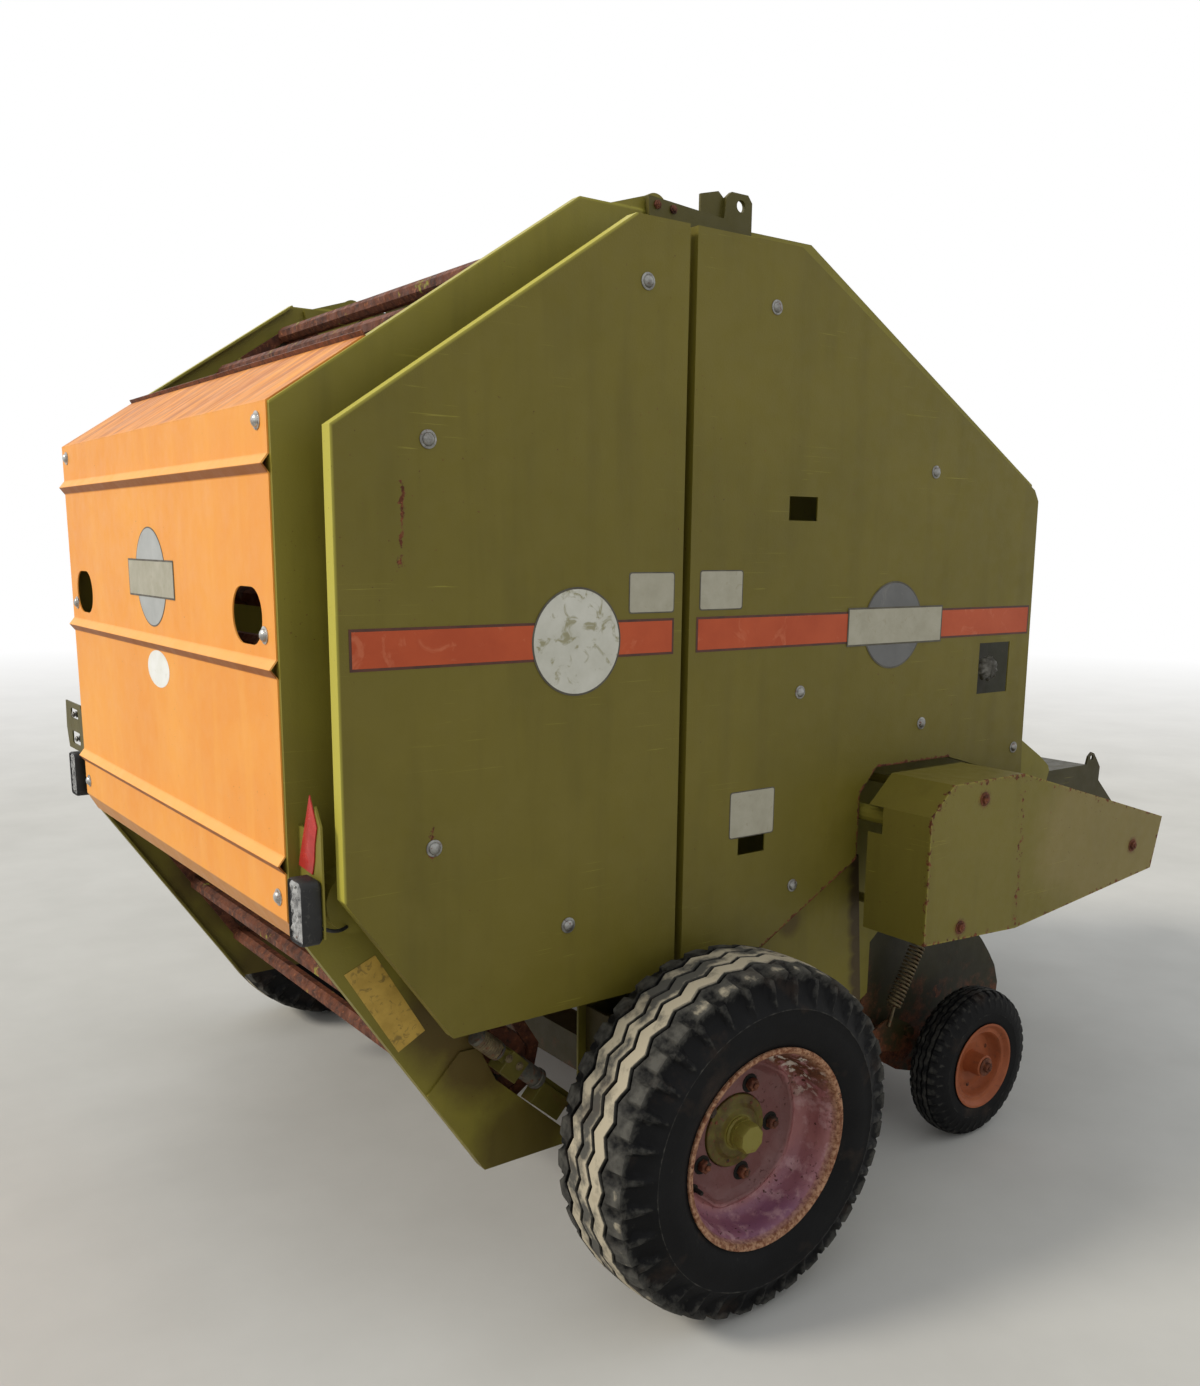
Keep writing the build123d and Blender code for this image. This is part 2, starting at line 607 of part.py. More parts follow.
# Leg of the parking jack
leg = block(jack_x - leg_side / 2, jack_x + leg_side / 2, jack_y - leg_side / 2, jack_y + leg_side / 2, 8, 620)
leg += block(jack_x - 80, jack_x + 80, jack_y - 80, jack_y + 80, 0, 10)
save("jack_leg", leg)

# Main wheels
half_tyre = tyre_w / 2
half_rim = rim_w / 2
seat_r = bead_r + face_gap
half_tyre_profile = [
    (seat_r, half_rim - 10.4), (rim_r + face_gap, half_rim - 6.4), (290, half_tyre), (346, half_tyre - 14),
    (wheel_r - 8, half_tyre - 40), (wheel_r, 60),
]
tyre_profile = half_tyre_profile + [(r, -w) for r, w in half_tyre_profile[::-1]]
save_pair("tyre", turned(tyre_profile, wheel_y, 0, axle_z, wheel_sides))
disc_in = wheel_y - disc_y
rim_profile = [
    (rim_r, -half_rim), (rim_r, -half_rim + rim_t), (bead_r, -half_rim + 10), (bead_r - rim_t, -half_rim + 60),
    (well_r, -half_rim + 80), (well_r, half_rim - 100), (bead_r - 10, half_rim - 70), (bead_r, half_rim - 10),
    (rim_r, half_rim - rim_t), (rim_r, half_rim), (bead_r - 8, half_rim - 4), (bead_r - 16, half_rim - 72),
    (well_r - rim_t, disc_in + 38), (140, disc_in - disc_t), (118, disc_in + disc_t),
    (disc_bore_r, disc_in + disc_t), (disc_bore_r, disc_in), (118, disc_in), (140, disc_in - 16),
    (well_r - rim_t, disc_in + 30), (well_r - rim_t, -half_rim + 76), (bead_r - 12, -half_rim + 54),
    (bead_r - 12, -half_rim),
]
rim = turned(rim_profile, wheel_y, 0, axle_z, wheel_sides)
for i in range(wheel_bolt_count):
    angle = math.radians(wheel_bolt_first + 360 / wheel_bolt_count * i)
    rim += bar(wheel_bolt_pcd / 2 * math.cos(angle), axle_z + wheel_bolt_pcd / 2 * math.sin(angle),
               wheel_bolt_r, disc_y, disc_y + 14, 6)
save_pair("rim", rim)
hub = bar(0, axle_z, 62, disc_y - 110, disc_y - 20, 24)
hub += bar(0, axle_z, hub_flange_r, disc_y - 20, disc_y - disc_t, wheel_sides)
hub += bar(0, axle_z, disc_bore_r - face_gap, disc_y - disc_t, disc_y + 6, wheel_sides)
hub += bar(0, axle_z, 60, disc_y + 6, disc_y + 14, 24)
hub += bar(0, axle_z, 38, disc_y + 14, cap_y, 8)
hub -= rod(0, axle_z, stub_r + run_gap, disc_y - 111, stub_end_y + 4)
save_pair("hub", hub)

# Gauge wheels
gauge_half = gauge_w / 2
gauge_y = gauge_outer_y - gauge_half
half_gauge_profile = [
    (96, gauge_half - 14), (gauge_rim_r + 4, gauge_half - 2), (165, gauge_half), (gauge_r - 10, gauge_half - 14),
    (gauge_r, 26),
]
gauge_profile = half_gauge_profile + [(r, -w) for r, w in half_gauge_profile[::-1]]
save_pair("gauge_tyre", turned(gauge_profile, gauge_y, gauge_x, gauge_r, gauge_sides))
half_gauge_rim = [(gauge_rim_r, gauge_half), (gauge_rim_r, gauge_half - 1.7), (95.7, gauge_half - 13.7)]
gauge_rim_profile = [(gauge_stub_r + run_gap, gauge_half + 6), (30, gauge_half + 6), (30, 2), (88, 2), (90, gauge_half - 10)]
gauge_rim_profile += half_gauge_rim + [(r, -w) for r, w in half_gauge_rim[::-1]]
gauge_rim_profile += [(90, 10 - gauge_half), (88, -2), (30, -2), (30, -20), (gauge_stub_r + run_gap, -20)]
save_pair("gauge_rim", turned(gauge_rim_profile, gauge_y, gauge_x, gauge_r, gauge_sides))

# Pickup: side plates, spring brackets, rails and stub axles for the gauge wheels
pickup_outline = [
    (770, 640), (840, 640), (1180, 560), (1282, 461), (1318, 417), (1351, 370), (1371, 313), (1365, 250),
    (1320, 190), (1230, 140), (1100, 115), (993, 127), (930, 148), (865, 188), (770, 260),
]
bracket_outline = [(745, 320), (828, 348), (909, 306), (915, 240), (891, 232), (775, 261)]
bracket_face_y = spring_y
pickup_side = plate(pickup_outline, pickup_plate_y - plate_t, pickup_plate_y)
pickup_side -= rod(pickup_pivot_x, pickup_pivot_z, pickup_pin_r + run_gap, pickup_plate_y - 20, pickup_plate_y + 1)
pickup_side -= rod(reel_x, reel_z, reel_shaft_r + run_gap, pickup_plate_y - 20, pickup_plate_y + 1)
pickup_side += rod(gauge_x, gauge_r, gauge_stub_r, pickup_plate_y, gauge_outer_y - 7)
pickup_side += plate(bracket_outline, bracket_face_y - plate_t, bracket_face_y)
for x, z, reach in ((896, 289, bracket_face_y + 10), (800, 285, bracket_face_y)):
    pickup_side += bar(x, z, 16, pickup_plate_y, reach, 8)
pickup_shape = pickup_side + mirror(pickup_side, about=Plane.XZ)
for x, z in rail_places:
    pickup_shape += bar(x, z, rail_r, plate_t - pickup_plate_y, pickup_plate_y - plate_t)
save("pickup_frame", pickup_shape)

# Springs that carry the pickup, each with the hook at its lower end
spring_low_x, spring_low_z = 824.0, 369.0
spring_dx, spring_dz = spring_x - spring_low_x, spring_z - spring_low_z
spring_plane = Plane(origin=(spring_low_x, -spring_y, spring_low_z), x_dir=(0, 1, 0), z_dir=(spring_dx, 0, spring_dz))
spring = extrude(spring_plane * RegularPolygon(spring_r, 12), amount=math.hypot(spring_dx, spring_dz))
hook_y = bracket_face_y + face_gap + 5
spring += bar_between((spring_low_x + 4, -hook_y, spring_low_z + 8), (spring_low_x - 14, -hook_y, 325), 10, 10)
save("pickup_springs", both(spring))

# Stripper bands between the rows of tines
band_angles = (110, 75, 40, 0, -40, -75, -110)
band_line = [(reel_x + band_r * math.cos(math.radians(a)), reel_z + band_r * math.sin(math.radians(a)))
             for a in band_angles]
(high_x, high_z), (low_x, low_z) = rail_places
band_line = [(high_x, high_z + rail_r)] + band_line + [(low_x, low_z - rail_r)]
band_w = tine_pitch - band_gap
band_count = tine_count - 1
bands = []
for i in range(band_count):
    middle = (i - (band_count - 1) / 2) * tine_pitch
    bands.append(bent_sheet(band_line, sheet_t, middle - band_w / 2, middle + band_w / 2))
save("pickup_bands", Compound(children=bands))

# Tined reel
reel_disc_y = 666.0
reel = rod(reel_x, reel_z, reel_shaft_r, -pickup_plate_y, pickup_plate_y)
for side in (-1, 1):
    near, far = sorted((side * (reel_disc_y - plate_t), side * reel_disc_y))
    reel += bar(reel_x, reel_z, tine_bar_pitch_r + 20, near, far, 24)
for b in range(tine_bar_count):
    turn = 360 / tine_bar_count * b + 241
    row = bar(reel_x + tine_bar_pitch_r, reel_z, tine_bar_r, -reel_disc_y, reel_disc_y, 8)
    for i in range(tine_count):
        y = (i - (tine_count - 1) / 2) * tine_pitch
        row += block(reel_x + tine_bar_pitch_r, reel_x + tine_tip_r, y - tine_side / 2, y + tine_side / 2,
                     reel_z - tine_side / 2, reel_z + tine_side / 2)
    reel += Pos(reel_x, 0, reel_z) * Rot(0, -turn, 0) * Pos(-reel_x, 0, -reel_z) * row
save("pickup_reel", reel)

# Tailgate cylinders
cylinder_y = 783.0
barrel_r = 28.0
dx, dz = rod_eye_x - barrel_pin_x, rod_eye_z - barrel_pin_z
closed_length = math.hypot(dx, dz)
ux, uz = dx / closed_length, dz / closed_length


def across(distance):
    """A plane across the cylinder's axis, at a distance from the barrel's pin."""
    return Plane(origin=(barrel_pin_x + ux * distance, -cylinder_y, barrel_pin_z + uz * distance),
                 x_dir=(0, 1, 0), z_dir=(ux, 0, uz))


barrel = rod(barrel_pin_x, barrel_pin_z, barrel_r, cylinder_y - 15, cylinder_y + 15)
barrel += extrude(across(20) * RegularPolygon(barrel_r, 24), amount=closed_length - 110)
barrel -= rod(barrel_pin_x, barrel_pin_z, cylinder_pin_r + run_gap, cylinder_y - 30, cylinder_y + 30)
barrel -= extrude(across(60) * Circle(cylinder_pin_r + run_gap), amount=closed_length)
save_pair("cylinder_barrel", barrel)
piston = extrude(across(70) * Circle(cylinder_pin_r), amount=closed_length - 90)
piston += rod(rod_eye_x, rod_eye_z, barrel_r, cylinder_y - 13, cylinder_y + 13)
piston -= rod(rod_eye_x, rod_eye_z, cylinder_pin_r, cylinder_y - 30, cylinder_y + 30)
save_pair("cylinder_rod", piston)

# Latch arms outside the lower rear corner of the front frame
latch_y = 745.0
latch_pivot_x, latch_pivot_z = -130.0, 310.0
latch = bar_between((-455, -latch_y, 600), (latch_pivot_x, -latch_y, latch_pivot_z), 28, 28)
latch += bar_between((-396, -latch_y, 538), (-360, -latch_y, 502), 48, 52)
latch += bar_between((-318, -latch_y, 447), (-252, -latch_y, 388), 40, 52)
latch += bar(latch_pivot_x, latch_pivot_z, 26, latch_y - 14, latch_y + 14, 16)
latch += bar(latch_pivot_x, latch_pivot_z, 12, plate_outer_y, latch_y + 20)
save("latch_arms", both(latch))

# Lamps with their cable, and the reflectors, at the rear corners
lamp = block(lamp_rear_x, -805, -818, -755, 880, 1000)
lamp = fillet(lamp.edges().filter_by(Axis.X), 12)
lamp += block(-805, -804, -800, -770, 900, 980)
for start, end in (((-808, -806, 912), (-780, -812, 893)), ((-780, -812, 893), (-742, -775, 892))):
    lamp += bar_between(start, end, 8, 8)
save("tail_lamps", both(lamp))
reflector_outline = [(-779, 1146), (-806, 1093), (-795, 1062), (-790, 1030), (-780, 1002), (-719, 1007)]
reflectors = upright(reflector_outline, -810, -804 - face_gap)
save("reflectors", both(reflectors))
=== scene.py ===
import math

import bpy
import bmesh
from mathutils import Matrix, Vector
from mathutils.geometry import tessellate_polygon


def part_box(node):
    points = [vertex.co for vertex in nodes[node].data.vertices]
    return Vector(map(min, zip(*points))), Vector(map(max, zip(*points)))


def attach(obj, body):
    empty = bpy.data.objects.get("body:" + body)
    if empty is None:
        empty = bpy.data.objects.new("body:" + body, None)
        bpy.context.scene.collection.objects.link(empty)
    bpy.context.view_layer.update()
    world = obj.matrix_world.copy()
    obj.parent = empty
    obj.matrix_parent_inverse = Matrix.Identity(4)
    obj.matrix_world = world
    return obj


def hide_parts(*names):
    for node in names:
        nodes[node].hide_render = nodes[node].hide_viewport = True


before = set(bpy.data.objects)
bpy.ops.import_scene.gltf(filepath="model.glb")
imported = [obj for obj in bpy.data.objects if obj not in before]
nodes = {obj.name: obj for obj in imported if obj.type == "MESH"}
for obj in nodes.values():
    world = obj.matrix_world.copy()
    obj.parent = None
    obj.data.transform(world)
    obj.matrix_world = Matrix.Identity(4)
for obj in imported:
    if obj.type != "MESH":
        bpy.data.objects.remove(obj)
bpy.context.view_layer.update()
print("frame loaded:", len(nodes), "nodes")

# Lengths in the tables are millimetres: x from the wheel axle, y from the middle plane, z from the floor

mm = 0.001
bothSides = (("right", -1), ("left", 1))


def middle(node):
    low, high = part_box(node)
    return (low + high) / 2


wheel, gauge, cover = middle("tyre_right"), middle("gauge_tyre_right"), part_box("rear_cover_right")
axleX = wheel.x
wheelY, wheelZ = -wheel.y / mm, wheel.z / mm
gaugeX, gaugeY, gaugeZ = (gauge.x - axleX) / mm, -gauge.y / mm, gauge.z / mm
coverY = -cover[0].y / mm                         # outer face of the side covers
plateY = -cover[1].y / mm                         # and of the side plates that they stand on
guardY = -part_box("drive_guard")[0].y / mm         # outer face of the drive guard
panelX = -828                                     # rear face of the rear panel, between its ribs


def spot(x, y, z):
    return Vector((axleX + x * mm, y * mm, z * mm))


def newObject(name, data):
    made = bpy.data.objects.new(name, data)
    bpy.context.scene.collection.objects.link(made)
    return made


# Camera and light

cameraLook = {
    "place": (-1633, -2764, 1584),
    "turn": 0.9367,                       # radians from straight ahead towards the left side
    "dip": 0.1984,                        # radians below the horizon
    "roll": 0.0099,
    "lens": 31.609,
    "frameTall": 36,                      # of the frame behind that lens
    "rise": 0.0685,                       # vertical shift, in heights of the frame
    "sees": (50, 200000),                 # nearest and farthest
}


def makeCamera(look):
    turn, dip, roll = look["turn"], look["dip"], look["roll"]
    ahead = Vector((math.cos(turn) * math.cos(dip), math.sin(turn) * math.cos(dip), -math.sin(dip)))
    level = Vector((math.sin(turn), -math.cos(turn), 0))
    upright = level.cross(ahead)
    across = level * math.cos(roll) + upright * math.sin(roll)
    above = upright * math.cos(roll) - level * math.sin(roll)
    camera = newObject("camera", bpy.data.cameras.new("camera"))
    camera.matrix_world = Matrix((across, above, -ahead)).transposed().to_4x4()
    camera.location = spot(*look["place"])
    camera.data.sensor_width = look["frameTall"]
    camera.data.lens = look["lens"]
    camera.data.shift_y = look["rise"]
    camera.data.clip_start, camera.data.clip_end = (reach * mm for reach in look["sees"])
    bpy.context.scene.camera = camera


makeCamera(cameraLook)
bpy.context.scene.view_settings.view_transform = "Standard"

lightLook = {
    "sky": (0.94, 0.97, 1.0, 1.0),
    "skyStrength": 0.72,
    "sunFrom": (-0.80, 0.28, 0.62),       # high, behind the machine and a little to its left
    "sunStrength": 1.75,
    "sunWidth": 14,                       # degrees, which sets how soft the shadows are
    "sunTint": (1.0, 0.95, 0.86),
}
white = (1, 1, 1, 1)


def mixShaders(tree, share, first, second, output):
    choose = tree.nodes.new("ShaderNodeMixShader")
    for socket, given in zip(choose.inputs, (share, first, second)):
        tree.links.new(given, socket)
    tree.links.new(choose.outputs[0], output.inputs["Surface"])


def makeLight(look):
    # the camera and mirrors see a white room, and everything else is lit by the sky
    world = bpy.data.worlds.new("studio")
    bpy.context.scene.world = world
    world.use_nodes = True
    tree = world.node_tree
    tree.nodes.clear()
    room, seenRoom = [tree.nodes.new("ShaderNodeBackground") for _ in range(2)]
    room.inputs["Color"].default_value = look["sky"]
    room.inputs["Strength"].default_value = look["skyStrength"]
    seenRoom.inputs["Color"].default_value = white
    rays = tree.nodes.new("ShaderNodeLightPath")
    seen = rays.outputs["Is Camera Ray"]
    for kind in ("Is Glossy Ray", "Is Transmission Ray"):
        either = tree.nodes.new("ShaderNodeMath")
        either.operation = "MAXIMUM"
        tree.links.new(seen, either.inputs[0])
        tree.links.new(rays.outputs[kind], either.inputs[1])
        seen = either.outputs[0]
    mixShaders(tree, seen, room.outputs[0], seenRoom.outputs[0], tree.nodes.new("ShaderNodeOutputWorld"))
    sun = newObject("sun", bpy.data.lights.new("sun", "SUN"))
    sun.data.energy = look["sunStrength"]
    sun.data.angle = math.radians(look["sunWidth"])
    sun.data.color = look["sunTint"]
    sun.rotation_mode = "QUATERNION"
    sun.rotation_quaternion = Vector(look["sunFrom"]).to_track_quat("Z", "Y")


makeLight(lightLook)


# Finishes: their tints are red, green and blue from 0 to 255

finishes = {}


def linear(value):
    share = value / 255
    return share / 12.92 if share <= 0.04045 else ((share + 0.055) / 1.055) ** 2.4


def tint(colour):
    # a colour that comes from other nodes stays as it is
    if isinstance(colour, bpy.types.NodeSocket):
        return colour
    return (*(linear(value) for value in colour), 1.0)


class Finish:
    # one procedural material, with short calls for its nodes and for the layers of its colour
    def __init__(self, name):
        self.name = name
        self.material = bpy.data.materials.new(name)
        self.material.use_nodes = True
        self.tree = self.material.node_tree
        self.tree.nodes.clear()
        self.shader = self.tree.nodes.new("ShaderNodeBsdfPrincipled")
        self.output = self.tree.nodes.new("ShaderNodeOutputMaterial")
        self.tree.links.new(self.shader.outputs["BSDF"], self.output.inputs["Surface"])
        self.place = self.tree.nodes.new("ShaderNodeTexCoord").outputs["Object"]
        split = self.tree.nodes.new("ShaderNodeSeparateXYZ")
        self.tree.links.new(self.place, split.inputs[0])
        self.x, across, self.z = split.outputs
        self.side = self.maths("ABSOLUTE", across)
        self.ahead = self.maths("SUBTRACT", self.x, axleX)
        self.colour = None

    def feed(self, socket, value):
        if isinstance(value, bpy.types.NodeSocket):
            self.tree.links.new(value, socket)
        else:
            socket.default_value = value

    def maths(self, operation, *values):
        result = values[0]
        for value in values[1:] or (0.0,):
            node = self.tree.nodes.new("ShaderNodeMath")
            node.operation = operation
            self.feed(node.inputs[0], result)
            self.feed(node.inputs[1], value)
            result = node.outputs[0]
        return result

    def times(self, *values):
        return self.maths("MULTIPLY", *values)

    def most(self, *values):
        return self.maths("MAXIMUM", *values)

    def vector(self, operation, first, second=(0, 0, 0), scale=None):
        node = self.tree.nodes.new("ShaderNodeVectorMath")
        node.operation = operation
        self.feed(node.inputs[0], first)
        if scale is None:
            self.feed(node.inputs[1], second)
        else:
            self.feed(node.inputs["Scale"], scale)
        return node.outputs["Value" if operation in ("DOT_PRODUCT", "DISTANCE", "LENGTH") else "Vector"]

    def noise(self, size, detail=4.0, stretch=None, rough=0.6, warp=0.0, moved=(0, 0, 0)):
        place = self.place
        if stretch:
            place = self.vector("MULTIPLY", place, stretch)
        if any(moved):
            place = self.vector("ADD", place, moved)
        node = self.tree.nodes.new("ShaderNodeTexNoise")
        settings = {"Vector": place, "Scale": size, "Detail": detail, "Roughness": rough, "Distortion": warp}
        for socket, given in settings.items():
            self.feed(node.inputs[socket], given)
        return node.outputs[0]

    def fade(self, value, low, high, start=0.0, end=1.0):
        node = self.tree.nodes.new("ShaderNodeMapRange")
        for socket, given in zip(node.inputs, (value, low, high, start, end)):
            self.feed(socket, given)
        return node.outputs[0]

    def span(self, value, low, high, start=0.0, end=1.0):
        # the same for a length, with its limits in millimetres
        return self.fade(value, low * mm, high * mm, start, end)

    def band(self, low, full, less, none):
        # heights from low to none, full between the middle two
        return self.times(self.span(self.z, low, full), self.span(self.z, less, none, 1, 0))

    def pattern(self, size, low, high, start=0.0, end=1.0, **more):
        # soft patches: noise that fades in between two of its values
        return self.fade(self.noise(size, **more), low, high, start, end)

    def patterns(self, table):
        return {name: self.pattern(**given) for name, given in table.items()}

    def ragged(self, shape, size, low, high, detail=5.0, torn=1.0, weight=1.0):
        # a soft shape whose edge is torn by noise
        tears = self.times(self.noise(size, detail), torn)
        return self.fade(self.maths("ADD", tears, self.times(shape, weight)), low, high)

    def near(self, lines, reach, y=None):
        # 1 on the lines, fading to 0 at the reach; their points are pairs of x and z, and one alone is a spot
        # they hold for both sides, and without a y also for every sheet behind them
        place = self.tree.nodes.new("ShaderNodeCombineXYZ")
        for socket, given in zip(place.inputs, (self.x, self.side if y else 0.0, self.z)):
            self.feed(socket, given)
        gaps = []
        for line in lines:
            points = [spot(x, y or 0, z) for x, z in line]
            if len(points) == 1:
                gaps.append(self.vector("DISTANCE", place.outputs[0], points[0]))
            for start, end in zip(points, points[1:]):
                run = end - start
                offset = self.vector("SUBTRACT", place.outputs[0], start)
                along = self.vector("DOT_PRODUCT", offset, run / run.length_squared)
                along = self.maths("MINIMUM", self.most(along, 0.0), 1.0)
                gaps.append(self.vector("DISTANCE", offset, self.vector("SCALE", run, scale=along)))
        nearest = self.maths("MINIMUM", *gaps) if len(gaps) > 1 else gaps[0]
        return self.span(nearest, 0, reach, 1, 0)

    def radius(self, centre):
        offset = self.vector("SUBTRACT", self.place, centre)
        return self.vector("LENGTH", self.vector("MULTIPLY", offset, (1, 0, 1)))

    def blend(self, share, first, second):
        node = self.tree.nodes.new("ShaderNodeMix")
        node.data_type = "RGBA"
        self.feed(node.inputs[0], share)
        self.feed(node.inputs[6], tint(first))
        self.feed(node.inputs[7], tint(second))
        return node.outputs[2]

    def mottle(self, look, size, low=0.35, high=0.65, **more):
        # the two main tones, under all other layers
        self.colour = self.blend(self.pattern(size, low, high, **more), look["main"], look["other"])

    def coat(self, share, colour):
        self.colour = self.blend(share, self.colour, colour)

    def sheen(self, size, smooth, rough):
        return self.pattern(size, 0.3, 0.7, smooth, rough, detail=3)

    def bump(self, height, depth, strength):
        node = self.tree.nodes.new("ShaderNodeBump")
        for socket, given in {"Strength": strength, "Distance": depth * mm, "Height": height}.items():
            self.feed(node.inputs[socket], given)
        self.tree.links.new(node.outputs[0], self.shader.inputs["Normal"])

    def done(self, roughness, metallic=0.0, shine=0.5):
        self.shader.inputs["Specular IOR Level"].default_value = shine
        self.feed(self.shader.inputs["Base Color"], self.colour)
        self.feed(self.shader.inputs["Roughness"], roughness)
        self.feed(self.shader.inputs["Metallic"], metallic)
        finishes[self.name] = self.material


rustTints = {"dark": (62, 32, 20), "main": (112, 62, 38), "light": (158, 98, 62), "roughness": 0.85}


def rustColour(finish, size=60.0):
    patches = finish.pattern(size, 0.35, 0.6, detail=6, moved=(3, 1, 2))
    colour = finish.blend(patches, rustTints["dark"], rustTints["main"])
    return finish.blend(finish.pattern(size * 3, 0.55, 0.75), colour, rustTints["light"])


def roughWithRust(finish, rough, rusted):
    return finish.most(rough, finish.times(rusted, rustTints["roughness"]))


# Old olive paint: patches, runs, dust, scratches, pale bends that are partly wear and partly painted
# highlight, a painted highlight on the cover's rear lip, painted shade low down, stains, blotches of painted
# shade and light, and rust

paintDefaults = {
    # grime tints the runs of grime and the painted shade low down
    "main": (114, 103, 34), "other": (106, 96, 31), "grime": (80, 71, 22), "worn": (196, 186, 80),
    # worn tints the scratches, and the pale bends, which are partly wear and partly painted highlight
    "dust": (124, 112, 48),
    "runs": 0.25, "scratch": 0.3, "specks": 0.0,      # how strong they are
    "lip": None,                                      # painted highlight on the sheet's rear edge
    "bends": (), "bendReach": 7, "bendShare": 0.8,
    "rustLines": (), "rustReach": 12, "rustShare": 0.42,
    "halos": (), "haloReach": 24,                     # rings of rust round bolts
    "rustBelow": None,                                # heights between which the rust sets in
    "stains": (),
    "faceY": None,                                    # limits bends, lines and halos to this face
}
paintPatterns = {
    "patches": dict(size=2.2, low=0.35, high=0.68, warp=0.4),
    "runs": dict(size=14, low=0.5, high=0.75, detail=3, stretch=(1, 1, 0.12), moved=(5, 0, 0)),
    "dust": dict(size=7, low=0.45, high=0.7, detail=5),
    "scratches": dict(size=7, low=0.70, high=0.73, detail=2, stretch=(0.5, 1, 34), rough=0.4, warp=1.6,
                      moved=(0, 0, 7)),
    "scratched": dict(size=5, low=0.52, high=0.6, detail=2),
    "speckled": dict(size=3, low=0.45, high=0.62, start=0.1, detail=2),
}
paintRagged = {
    "rustLines": dict(size=70, low=0.78, high=0.86),
    "halos": dict(size=120, low=0.62, high=0.95, detail=4, torn=0.6),
    "rustBelow": dict(size=22, low=0.66, high=0.8, detail=6, weight=0.3),
    "stains": dict(size=11, low=0.36, high=0.78, torn=0.5),
}
paintHeights = {
    # from, to, and how strong the dust and the painted shade low down are at these heights
    "dust": (400, 1600, 0.5, 0.15), "shade": (500, 1900, 0.22, 0.0),
}


def litLipHighlight(finish, look):
    # the turned rear edge of the cover, which lies behind its face, painted pale as a sunlit highlight
    edge = finish.span(finish.side, *(coverY - depth for depth in look["behind"]), 1, 0)
    rear = finish.span(finish.ahead, *look["to"], 1, 0)
    finish.coat(finish.times(edge, rear, finish.span(finish.z, *look["from"])), look["tint"])


def paintRust(finish, look, speckled):
    rusted = finish.pattern(150, 0.70 - look["specks"], 0.74, detail=3, moved=(1, 1, 1))
    rusted = finish.times(rusted, speckled)
    if look["rustLines"]:
        lines = finish.near(look["rustLines"], look["rustReach"], look["faceY"])
        broken = finish.ragged(lines, **paintRagged["rustLines"], weight=look["rustShare"])
        rusted = finish.most(rusted, finish.times(broken, finish.fade(lines, 0.02, 0.2)))
    if look["halos"]:
        halo = finish.near([[point] for point in look["halos"]], look["haloReach"], look["faceY"])
        uneven = finish.ragged(halo, **paintRagged["halos"])
        rusted = finish.most(rusted, finish.times(uneven, finish.fade(halo, 0, 0.3), 0.75))
    if look["rustBelow"]:
        low = finish.span(finish.z, *look["rustBelow"], 1, 0)
        rusted = finish.most(rusted, finish.times(finish.ragged(low, **paintRagged["rustBelow"]), low))
    return rusted


def oldPaint(name, look):
    look = {**paintDefaults, **look}
    finish = Finish(name)
    seen = finish.patterns(paintPatterns)
    finish.colour = finish.blend(seen["patches"], look["main"], look["other"])
    finish.coat(finish.times(seen["runs"], look["runs"]), look["grime"])
    finish.coat(finish.times(seen["dust"], finish.span(finish.z, *paintHeights["dust"])), look["dust"])
    if look["lip"]:
        litLipHighlight(finish, look["lip"])
    finish.coat(finish.times(seen["scratches"], seen["scratched"], look["scratch"]), look["worn"])
    # painted shade: the paint darkens towards the bottom
    finish.coat(finish.span(finish.z, *paintHeights["shade"]), look["grime"])
    # pale bends: partly wear, partly painted highlight where light catches the edges
    if look["bends"]:
        bends = finish.near(look["bends"], look["bendReach"], look["faceY"])
        finish.coat(finish.times(bends, look["bendShare"]), look["worn"])
    # blotches: real stains, and on some sheets painted shade and painted light
    for stain in look["stains"]:
        near = finish.near([[point] for point in stain["at"]], stain["reach"])
        raggedBlotch = finish.ragged(near, **paintRagged["stains"])
        finish.coat(finish.times(raggedBlotch, finish.fade(near, 0, 0.2), stain["share"]), stain["tint"])
    rusted = paintRust(finish, look, seen["speckled"])
    finish.coat(rusted, rustColour(finish))
    finish.bump(finish.maths("ADD", finish.times(rusted, 0.7), finish.noise(260, 2)), 0.6, 0.5)
    finish.done(roughWithRust(finish, finish.sheen(30, 0.42, 0.58), rusted), shine=0.28)


rearStuds = [(-595, 1756), (-121, 2070), (-597, 1034), (-298, 833)]
frontStuds = [(217, 2062), (752, 1756), (330, 1262), (754, 1159), (331, 815)]
rightOnlyStud = (1136, 1065)
guardBolts = [(719, 1012), (1370, 811), (660, 713)]
guardFace = [(532, 690), (532, 990), (605, 1057), (865, 1057), (1506, 873), (1471, 735), (875, 672),
             (532, 690)]
guardSeam = [(865, 1057), (875, 672)]
